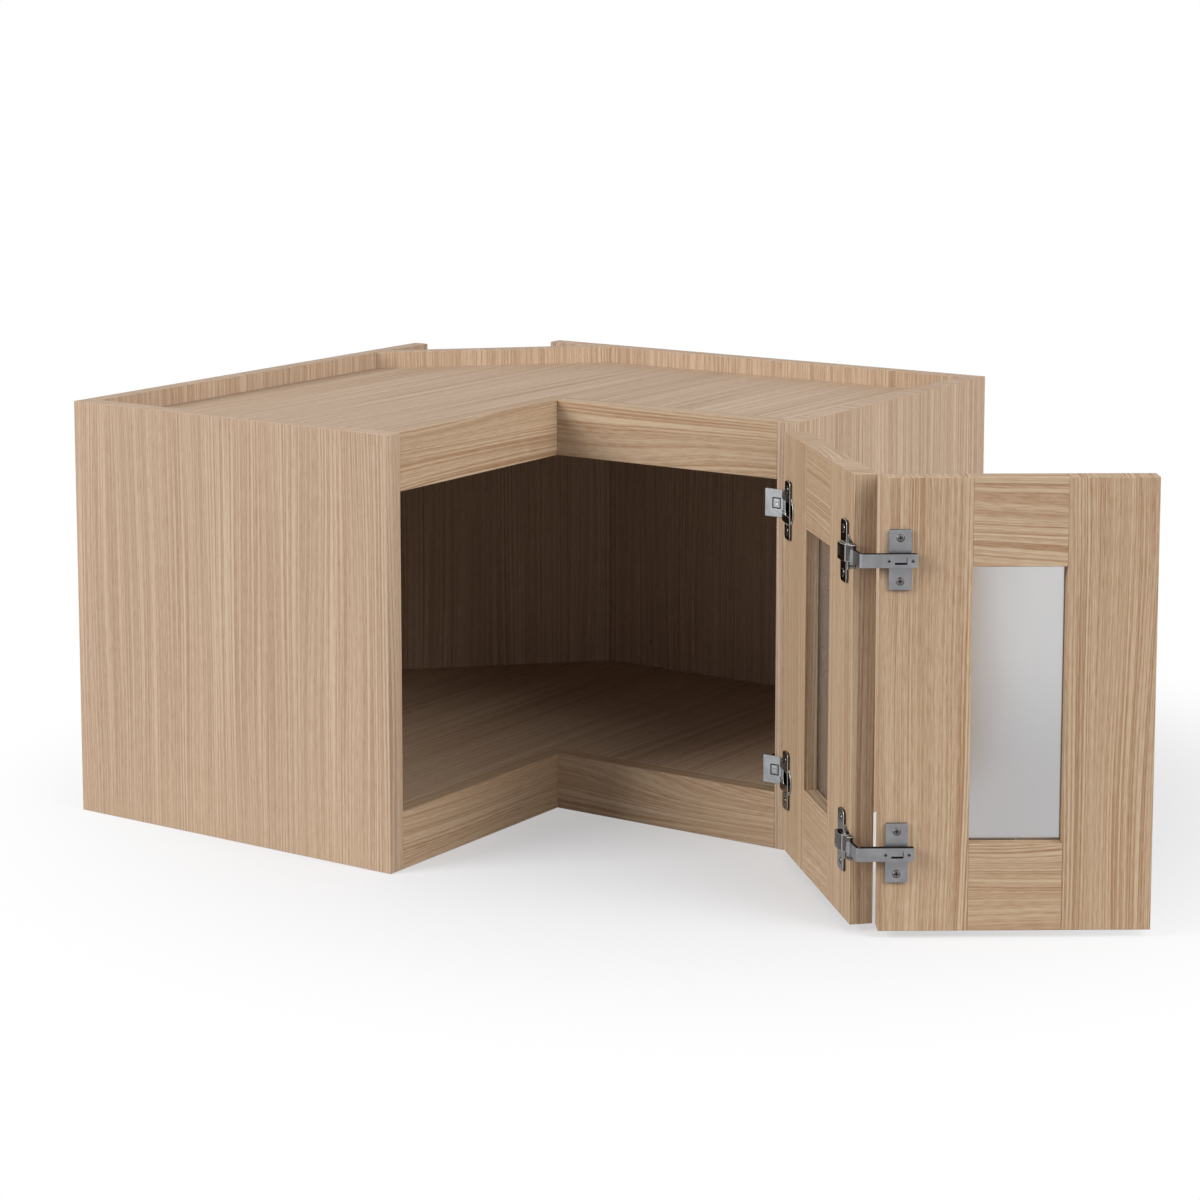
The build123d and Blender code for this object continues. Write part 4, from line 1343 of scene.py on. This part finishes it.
# ------------------------------------------------------------------------------ the doors
@dataclass
class Door:
    """A frame-and-pane door, drawn from its hinge edge (x = 0) and its back (y = 0)."""

    finishes: Finishes
    name: str
    body: Body
    place: Matrix
    stiles: tuple[str, str]
    back_holes: tuple[list[Recess], list[Recess]]
    bottom: float = 6.35
    top: float = 374.65
    stile_width: float = 72.0
    rail_height: float = 71.6
    tenon_length: float = 12.0
    tenon_shoulder: float = 10.0
    tenon_thick: float = 6.0
    tenon_slack: float = 0.1
    glass_back: float = 11.3
    glass_thick: float = 3.2
    glass_ease: float = 0.3
    glass_corner: float = 1.0
    glass_slack: float = 1.0
    groove_depth: float = 8.0
    groove_slack: float = 0.15
    groove_stop: float = 0.6

    def __post_init__(self) -> None:
        """Work out the opening, the groove and the tenons."""
        slack, shoulder = self.groove_slack, self.tenon_shoulder
        self.sight = (self.bottom + self.rail_height, self.top - self.rail_height)
        self.glass = (-self.glass_back - self.glass_thick, -self.glass_back)
        self.groove = (self.glass[0] - slack, self.glass[1] + slack)
        middle, half = -DOOR_THICK / 2, self.tenon_thick / 2
        self.tenon = (middle - half, middle + half)
        self.tenon_heights = (
            (self.bottom + shoulder, self.sight[0] - shoulder),
            (self.sight[1] + shoulder, self.top - shoulder),
        )

    def board(self, part: str, outline: list[Pair], recesses: list[Recess]) -> Board:
        """Make one board of the door's frame, its grain running up a stile and along a rail.

        Args:
            part: the board's name within the door.
            outline: its corners, anticlockwise.
            recesses: its holes, pockets and tenons.

        Returns:
            The board.
        """
        depths, axes = (-DOOR_THICK, 0.0), Axes.DEPTH_MINUS_Y
        surface = Surface().slab(outline, *depths, recesses=recesses, axes=axes)
        is_stile = part in self.stiles
        finish = self.finishes.door if is_stile else self.finishes.door_rail
        grain = Grain.UP_FACING_Y if is_stile else Grain.ALONG_X_FACING_Y
        name = f"{self.name}_{part}"
        return Board(name, self.body, Slot.DOOR, finish, surface, self.place, grain)

    def stile(self, index: int) -> Board:
        """Make a stile with its pane groove, its two mortises and the hinge holes in its back.

        Args:
            index: 0 for the stile at the hinge edge and 1 for the other.

        Returns:
            The stile.
        """
        near = index == 0
        across = (0.0, self.stile_width) if near else (DOOR_WIDTH - self.stile_width, DOOR_WIDTH)
        side = 1 if near else 3

        def span(low: float, high: float) -> Pair:
            """Turn heights into places along the stile's inner side.

            Args:
                low, high: the heights.

            Returns:
                The places, in the order of the side's own direction.
            """
            if near:
                return (low - self.bottom, high - self.bottom)
            return (self.top - high, self.top - low)

        reach, slack = self.groove_depth, self.tenon_slack
        ends = span(self.sight[0] - reach, self.sight[1] + reach)
        mortise = (self.tenon[0] - slack, self.tenon[1] + slack)
        cuts = [Recess.cut(side, ends, self.groove, reach)]
        for low, high in self.tenon_heights:
            ends = span(low - slack, high + slack)
            cuts.append(Recess.cut(side, ends, mortise, self.tenon_length + slack))
        outline = box_outline(across, (self.bottom, self.top))
        return self.board(self.stiles[index], outline, cuts + self.back_holes[index])

    def rail(self, at_top: bool) -> Board:
        """Make a rail between the stiles, with its pane groove and its two tenons.

        Args:
            at_top: whether it is the top rail.

        Returns:
            The rail.
        """
        across = (self.stile_width, DOOR_WIDTH - self.stile_width)
        up = (self.sight[1], self.top) if at_top else (self.bottom, self.sight[0])
        low, high = self.tenon_heights[at_top]
        run = (self.groove_stop, across[1] - across[0] - self.groove_stop)
        cuts = [
            Recess.cut(0 if at_top else 2, run, self.groove, self.groove_depth),
            Recess.cut(1, (low - up[0], high - up[0]), self.tenon, -self.tenon_length),
            Recess.cut(3, (up[1] - high, up[1] - low), self.tenon, -self.tenon_length),
        ]
        return self.board("top_rail" if at_top else "bottom_rail", box_outline(across, up), cuts)

    def pane(self) -> Board:
        """Make the pane, with ground edges, held in the grooves of the frame.

        Returns:
            The pane.
        """
        into = self.groove_depth - self.glass_slack
        across = (self.stile_width - into, DOOR_WIDTH - self.stile_width + into)
        outline = box_outline(across, (self.sight[0] - into, self.sight[1] + into))
        edges = (self.glass_ease, self.glass_corner)
        surface = Surface().slab(outline, *self.glass, *edges, axes=Axes.DEPTH_MINUS_Y)
        name = f"{self.name}_glass"
        return Board(name, self.body, Slot.PANE, self.finishes.pane, surface, self.place)

    def boards(self) -> list[Board]:
        """Return the door's two stiles, two rails and pane."""
        return [self.stile(0), self.stile(1), self.rail(True), self.rail(False), self.pane()]


# ------------------------------------------------------------------------------ fittings
PLAIN_SCREWS = (
    "back_panel_screws",
    "mounting_plate_screws",
    "arm_fixing_screws",
    "cabinet_hinge_pins",
    "fold_hinge_pins",
)
DOWELS = ("deck_dowels", "rail_dowels")


def shadow(outline: list[Pair], low: float, high: float, *recesses: Recess) -> Surface:
    """Draw the dark inside of a slot, groove or cross, which faces as a door's back does.

    Args:
        outline: its corners, anticlockwise.
        low, high: where its broad faces lie.
        recesses: holes in it.

    Returns:
        The surface, with hardly eased edges.
    """
    return Surface().slab(outline, low, high, 0.03, 0.05, recesses, Axes.DEPTH_MINUS_Y)


@dataclass
class Hinges:
    """The two cabinet hinges and the two fold hinges."""

    finishes: Finishes
    places: DoorPlaces
    sunk: float = 0.15
    arm_front: float = 360.15
    window_centre: float = 592.12
    window: Pair = (4.2, 4.9)
    window_groove: float = 1.0
    window_depth: float = 0.75
    adjuster: Pair = (1.8, 2.5)
    adjuster_depths: Pair = (-0.5, 0.25)
    adjuster_edges: Pair = (0.1, 0.4)
    notch: tuple = ((-1.0, 1.2), (-0.5, 0.5), 0.2)
    cup_places: Pair = (17.0, 197.65)
    cup_bore: Pair = (13.1, 11.1)
    cup_screw_spacing: float = 36.0
    cap: Pair = (3.4, 3.2)
    cap_middle: float = 6.0
    cap_half_thick: float = 0.3
    cap_edges: Pair = (0.12, 0.6)
    cap_slots: tuple = (-2.4, -0.55, 1.3)
    cap_slot: tuple = (1.1, 2.2, 0.25)
    plate_middle: float = 14.2
    plate_screw_spacing: float = 34.8
    screw_hole_depth: float = 11.65
    strap_face: float = 8.2
    strap_reach: Pair = (-15.2, 27.4)
    strap_screw_spacing: float = 18.8
    # the strap's folded edges, drawn in painted shade
    flange: Pair = (5.15, 5.45)
    flange_depths: Pair = (2.55, 6.8)
    slot_reach: float = 4.9
    slot_width: float = 1.6
    slot_rise: float = 1.8
    slot_notch: float = 0.5
    slot_depth: float = 1.4
    head_top: float = 2.9
    head_cross: tuple = (1.74, 0.38, 0.9)
    small_head_thick: float = 0.5
    small_cross: tuple = (0.8, 0.36, 0.3)

    def door_holes(self) -> dict[str, tuple[list[Recess], list[Recess]]]:
        """Make the hinge holes in the backs of both doors' stiles.

        Returns:
            For each door, the holes in its near stile and in its far stile.
        """

        def screw_holes(x: float, z: float, spacing: float) -> list[Recess]:
            """Return the holes of two screws, one above the other."""
            spots = [(x, z + side * spacing / 2) for side in SIDES]
            return [Recess.bore("high", s, SCREW_RADIUS, self.screw_hole_depth) for s in spots]

        cups, plates = ([], []), []
        for line, x in zip(cups, self.cup_places):
            for _, z in HINGE_LEVELS:
                line.append(Recess.bore("high", (x, z), *self.cup_bore, count=BORE_STEPS))
                line += screw_holes(x, z, self.cup_screw_spacing)
        for _, z in HINGE_LEVELS:
            plates += screw_holes(self.plate_middle, z, self.plate_screw_spacing)
        return {"hinged_door": cups, "folding_door": (plates, [])}

    def window_frame(self, half_width: float, half_height: float) -> list[Pair]:
        """Return a rectangle round the middle of an arm's window."""
        centre = self.window_centre
        return box_outline((centre - half_width, centre + half_width), (-half_height, half_height))

    def adjuster_block(self) -> Surface:
        """Draw the adjuster in the window of an arm's front plate, with its notched slot.

        Returns:
            The surface.
        """
        (left, right), up, depth = self.notch
        centre = self.window_centre
        notch = Recess.cut("high", (centre + left, centre + right), up, depth)
        low, high = (self.arm_front + rise for rise in self.adjuster_depths)
        outline = self.window_frame(*self.adjuster)
        return Surface().slab(
            outline, low, high, *self.adjuster_edges, (notch,), Axes.DEPTH_MINUS_Y
        )

    def window_shadow(self) -> Surface:
        """Draw the dark inside of the groove round an arm's window, as a square frame.

        Returns:
            The surface.
        """
        low, high = self.arm_front - self.window_depth, self.arm_front - self.sunk
        loop = np.array(self.window_frame(*(half - self.window_groove for half in self.window)))
        hole = Recess("high", np.stack([loop, loop]), (0.0, high - low), True)
        return shadow(self.window_frame(*self.window), low, high, hole)

    def strap_shadows(self) -> list[Surface]:
        """Draw the painted shade on a strap.

        Returns:
            The inside of its slot, a bar with a notch up at its end, and its upper and lower
            edges, folded back beside its seat towards the door, all as dark sheets standing in for
            the shade and dark reflections there.
        """
        first, last = self.plate_middle - self.slot_reach, self.plate_middle + self.slot_reach
        high = self.slot_rise * self.slot_width
        step, bar = last - self.slot_notch, self.slot_width - high
        outline = [(first, -high), (last, -high), (last, high)]
        outline += [(step, high), (step, bar), (first, bar)]
        face = self.strap_face
        inner, outer = self.flange
        edges = [box_outline(self.strap_reach, up) for up in ((inner, outer), (-outer, -inner))]
        slot = shadow(outline, face - self.slot_depth, face - 2 * self.sunk)
        return [slot, *(shadow(edge, *self.flange_depths) for edge in edges)]

    def housing_cap(self) -> Surface:
        """Draw the slotted cap on a fold hinge's housing, in the cup's own frame.

        Returns:
            The surface.
        """
        width, reach, depth = self.cap_slot
        up, (across, along) = (-reach, reach), self.cap
        slots = [Recess.cut("high", (low, low + width), up, depth) for low in self.cap_slots]
        low, high = (self.cap_middle + side * self.cap_half_thick for side in SIDES)
        outline = box_outline((-across, across), (-along, along))
        return Surface().slab(outline, low, high, *self.cap_edges, slots, Axes.DEPTH_Y)

    def crosses(
        self, door: Matrix, spots: list[Pair], sizes: tuple[float, float, float], top: float
    ) -> tuple[Detail, ...]:
        """Draw painted shade inside screws' crosses, as sheets that stop short of the heads' faces.

        Args:
            door: the place of the door that the screws are in.
            spots: the screws' places on its back.
            sizes: half the cross's length, half its arms' width, and its depth.
            top: the screw heads' height above the door's back.

        Returns:
            The details.
        """
        half_length, half_width, deep = sizes
        surface = shadow(plus_outline(half_length, half_width), top - deep, top - self.sunk)
        return tuple(Detail(surface, door @ moved(x, 0, z)) for x, z in spots)

    def screws(self) -> tuple[Fitting, ...]:
        """Return the screws whose heads show on the doors.

        Returns:
            The screws.
        """
        finishes, ends = self.finishes, [(z, side) for _, z in HINGE_LEVELS for side in SIDES]
        hinged, folding = self.places.hinged(), self.places.folding()
        cup, plate = self.cup_screw_spacing / 2, self.plate_screw_spacing / 2
        strap = self.strap_screw_spacing / 2
        middle, small_top = self.plate_middle, self.strap_face + self.small_head_thick
        on_cups = [(x, z + side * cup) for x in self.cup_places for z, side in ends]
        on_plates = [(middle, z + side * plate) for z, side in ends]
        on_straps = [(middle + side * strap, z) for z, side in ends]
        big, small = (self.head_cross, self.head_top), (self.small_cross, small_top)
        rows = (
            ("cup_screws", Body.HINGED, finishes.cup, 0.1, hinged, on_cups, big),
            ("fold_plate_screws", Body.FOLDING, finishes.screw, 0.1, folding, on_plates, big),
            ("strap_screws", Body.FOLDING, finishes.screw, 0.05, folding, on_straps, small),
        )
        return tuple(
            Fitting(
                name, body, Slot.SCREW, steel, finishes.gap, ease,
                details=self.crosses(door, spots, *cross),
            )
            for name, body, steel, ease, door, spots, cross in rows
        )

    def pressings(self) -> tuple[Fitting, ...]:
        """Return the pressed pieces of the four hinges.

        Returns:
            The upper hinges' pieces and then the lower ones'.
        """
        finishes, made = self.finishes, []
        hinged, folding = self.places.hinged(), self.places.folding()
        cup, arm, strap = finishes.cup, finishes.arm, finishes.strap
        for level, z in HINGE_LEVELS:
            lift = moved(0, 0, z)
            seat = hinged @ moved(self.cup_places[1], 0, z) @ spun(180, "X")
            cap = (Detail(self.housing_cap(), seat, dark=False),)
            window = (
                Detail(self.adjuster_block(), lift, dark=False),
                Detail(self.window_shadow(), lift),
            )
            slot = tuple(Detail(surface, folding @ lift) for surface in self.strap_shadows())
            # the True or False column puts painted shade on a piece's level faces
            rows = (
                ("cabinet_hinge_arm", Body.CABINET, Slot.STRAP, arm, 0.15, True, window),
                ("cabinet_hinge_mounting_plate", Body.CABINET, Slot.STRAP, strap, 0.22, False, ()),
                ("cabinet_hinge_cup", Body.HINGED, Slot.CUP, cup, 0.3, False, ()),
                ("fold_hinge_cup", Body.HINGED, Slot.CUP, cup, 0.3, False, cap),
                ("fold_hinge_plate", Body.FOLDING, Slot.STRAP, strap, 0.25, True, ()),
                ("fold_hinge_strap", Body.FOLDING, Slot.STRAP, strap, 0.18, True, slot),
            )
            for part, body, kind, steel, *shape in rows:
                painted_highlight = finishes.painted_highlight if kind is Slot.CUP else None
                name = f"{level}_{part}"
                made.append(Fitting(name, body, kind, steel, finishes.gap, *shape, painted_highlight))
        return tuple(made)

    def make(self, nodes: dict[str, bpy.types.Object]) -> None:
        """Make every hinge piece, and dress the screws, pins and dowels that keep their meshes.

        Args:
            nodes: the CAD nodes by name.
        """
        for fitting in self.pressings() + self.screws():
            fitting.make(nodes[fitting.name])
        for name in PLAIN_SCREWS:
            dress(nodes[name], self.finishes.screw)
        for name in DOWELS:
            dress(nodes[name], self.finishes.beech)


# ------------------------------------------------------------------------------ studio
@dataclass(frozen=True)
class Lamp:
    """One soft square lamp that looks at a point."""

    name: str
    spot: tuple[float, float, float]
    watts: float
    target: tuple[float, float, float] = (0.4, -0.4, 0.2)
    side: float = 2.0

    def make(self) -> None:
        """Put the lamp in the scene."""
        data = bpy.data.lights.new(self.name, "AREA")
        data.size = self.side
        data.energy = self.watts
        lamp = new_object(self.name, data)
        lamp.location = self.spot
        looking = Vector(self.target) - Vector(self.spot)
        lamp.rotation_euler = looking.to_track_quat("-Z", "Y").to_euler()


@dataclass
class Studio:
    """A plain pale floor, a white surround, soft lamps and the camera."""

    ambient: float = 0.31
    sky: tuple = (0.96, 0.98, 1.14, 1.0)
    paper: float = 0.68
    paper_roughness: float = 0.7
    paper_specular: float = 0.2
    veil: float = 0.38
    bounce: float = 0.45
    beyond: Pair = (0.75, 1.05)
    floor_half: float = 12.0
    floor_drop: float = 0.0002
    whitening: Pair = (0.26, 0.74)
    centre: tuple = (0.45, -0.25, 0.0)
    camera_at: tuple = (1.93513, -2.62183, 0.78187)
    azimuth: float = 34.0458
    pitch: float = 7.5287
    lens: float = 92.0076
    sensor: float = 36.0
    shift: float = -0.2
    lamps: tuple[Lamp, ...] = (
        Lamp("lamp_left", (-1.4, -3.6, 1.9), 152.0),
        Lamp("lamp_right", (3.7, -0.3, 1.5), 64.0),
        Lamp("lamp_high", (3.0, -1.0, 2.4), 45.0),
    )

    def seen(self, g: Graph) -> Socket:
        """Return 1 for rays that look at the scene straight, in a reflection or through glass.

        Args:
            g: the graph of the material or world that asks.

        Returns:
            The share, 0 or 1.
        """
        path = g.add("LightPath").outputs
        first = g.math("MAXIMUM", path["Is Camera Ray"], path["Is Glossy Ray"])
        return g.math("MAXIMUM", first, path["Is Transmission Ray"])

    def shown(self, g: Graph) -> Socket:
        """Return white for rays that look, and a cool white for rays that only light."""
        return g.blend(self.seen(g), self.sky, WHITE)

    def surround(self) -> None:
        """Make the world: white where it is seen, and softer where it only lights."""
        world = bpy.data.worlds.new("surround")
        world.use_nodes = True
        bpy.context.scene.world = world
        g = Graph(world.node_tree)
        strength = g.math("MULTIPLY_ADD", self.seen(g), 1.0 - self.ambient, self.ambient)
        back = world.node_tree.nodes["Background"]
        g.fill(back, {"Color": self.shown(g), "Strength": strength})

    def floor(self) -> None:
        """Make the floor, which fades to pure white away from the cabinet.

        A share of plain white glow, the veil, softens the shadows on it as on a bright sheet.
        Rays that only light the object find it darker near the cabinet than it looks, so that
        little light comes up from it, and find the surround beyond.
        """
        made, g, shader = new_material("floor_paper")
        seen = self.seen(g)
        unseen = g.math("SUBTRACT", 1.0, seen)
        shade = g.spread(seen, (0.0, 1.0), (self.bounce, self.paper))
        grey = g.add("CombineColor", {"Red": shade, "Green": shade, "Blue": shade}).outputs[0]
        constant = {"Roughness": self.paper_roughness, "Specular IOR Level": self.paper_specular}
        g.fill(shader, {"Base Color": grey, **constant})
        place = g.add("TexCoord").outputs["Object"]
        off = g.add("VectorMath", {0: place, 1: self.centre}, operation="DISTANCE").outputs["Value"]
        white = g.math("MULTIPLY", g.spread(off, self.whitening, (self.veil, 1.0)), seen)
        glowing = g.math("ADD", white, g.math("MULTIPLY", g.spread(off, self.beyond), unseen))
        strength = g.spread(seen, (0.0, 1.0), (self.ambient, 1.0))
        glow = g.add("Emission", {"Color": self.shown(g), "Strength": strength})
        mixed = g.add("MixShader", {0: glowing, 1: shader.outputs[0], 2: glow.outputs[0]})
        g.fill(made.node_tree.nodes["Material Output"], {"Surface": mixed.outputs[0]})
        half = self.floor_half
        corners = [(x, y, 0.0) for x, y in box_outline((-half, half), (-half, half))]
        mesh = bpy.data.meshes.new("floor")
        mesh.from_pydata(corners, [], [(0, 1, 2, 3)])
        mesh.materials.append(made)
        floor = new_object("floor", mesh)
        floor.location.z = -self.floor_drop

    def camera(self) -> None:
        """Set the camera at the photograph's viewing angle."""
        data = bpy.data.cameras.new("camera")
        data.lens = self.lens
        data.sensor_width = self.sensor
        data.shift_y = self.shift
        camera = new_object("camera", data)
        camera.location = self.camera_at
        camera.rotation_euler = (math.radians(90 - self.pitch), 0.0, math.radians(self.azimuth))
        bpy.context.scene.camera = camera

    def make(self) -> None:
        """Set up the whole studio."""
        bpy.context.scene.view_settings.view_transform = "Standard"
        self.camera()
        self.surround()
        self.floor()
        for lamp in self.lamps:
            lamp.make()


def main() -> None:
    """Build the looks round the frame, in the order case, doors, hinges, studio."""
    logging.basicConfig(level=logging.INFO, format="%(name)s: %(message)s")
    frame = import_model()
    finishes = Finishes.make()
    places = DoorPlaces()
    hinges = Hinges(finishes, places)
    holes = hinges.door_holes()
    boards = Case(finishes).boards()
    for name, body, place, stiles in (
        ("hinged_door", Body.HINGED, places.hinged(), ("hinge_stile", "fold_stile")),
        ("folding_door", Body.FOLDING, places.folding(), ("fold_stile", "free_stile")),
    ):
        boards += Door(finishes, name, body, place, stiles, holes[name]).boards()
    for number, board in enumerate(boards):
        board.make(number)
    hinges.make(frame["nodes"])
    Studio().make()


if __name__ == "__main__":
    main()
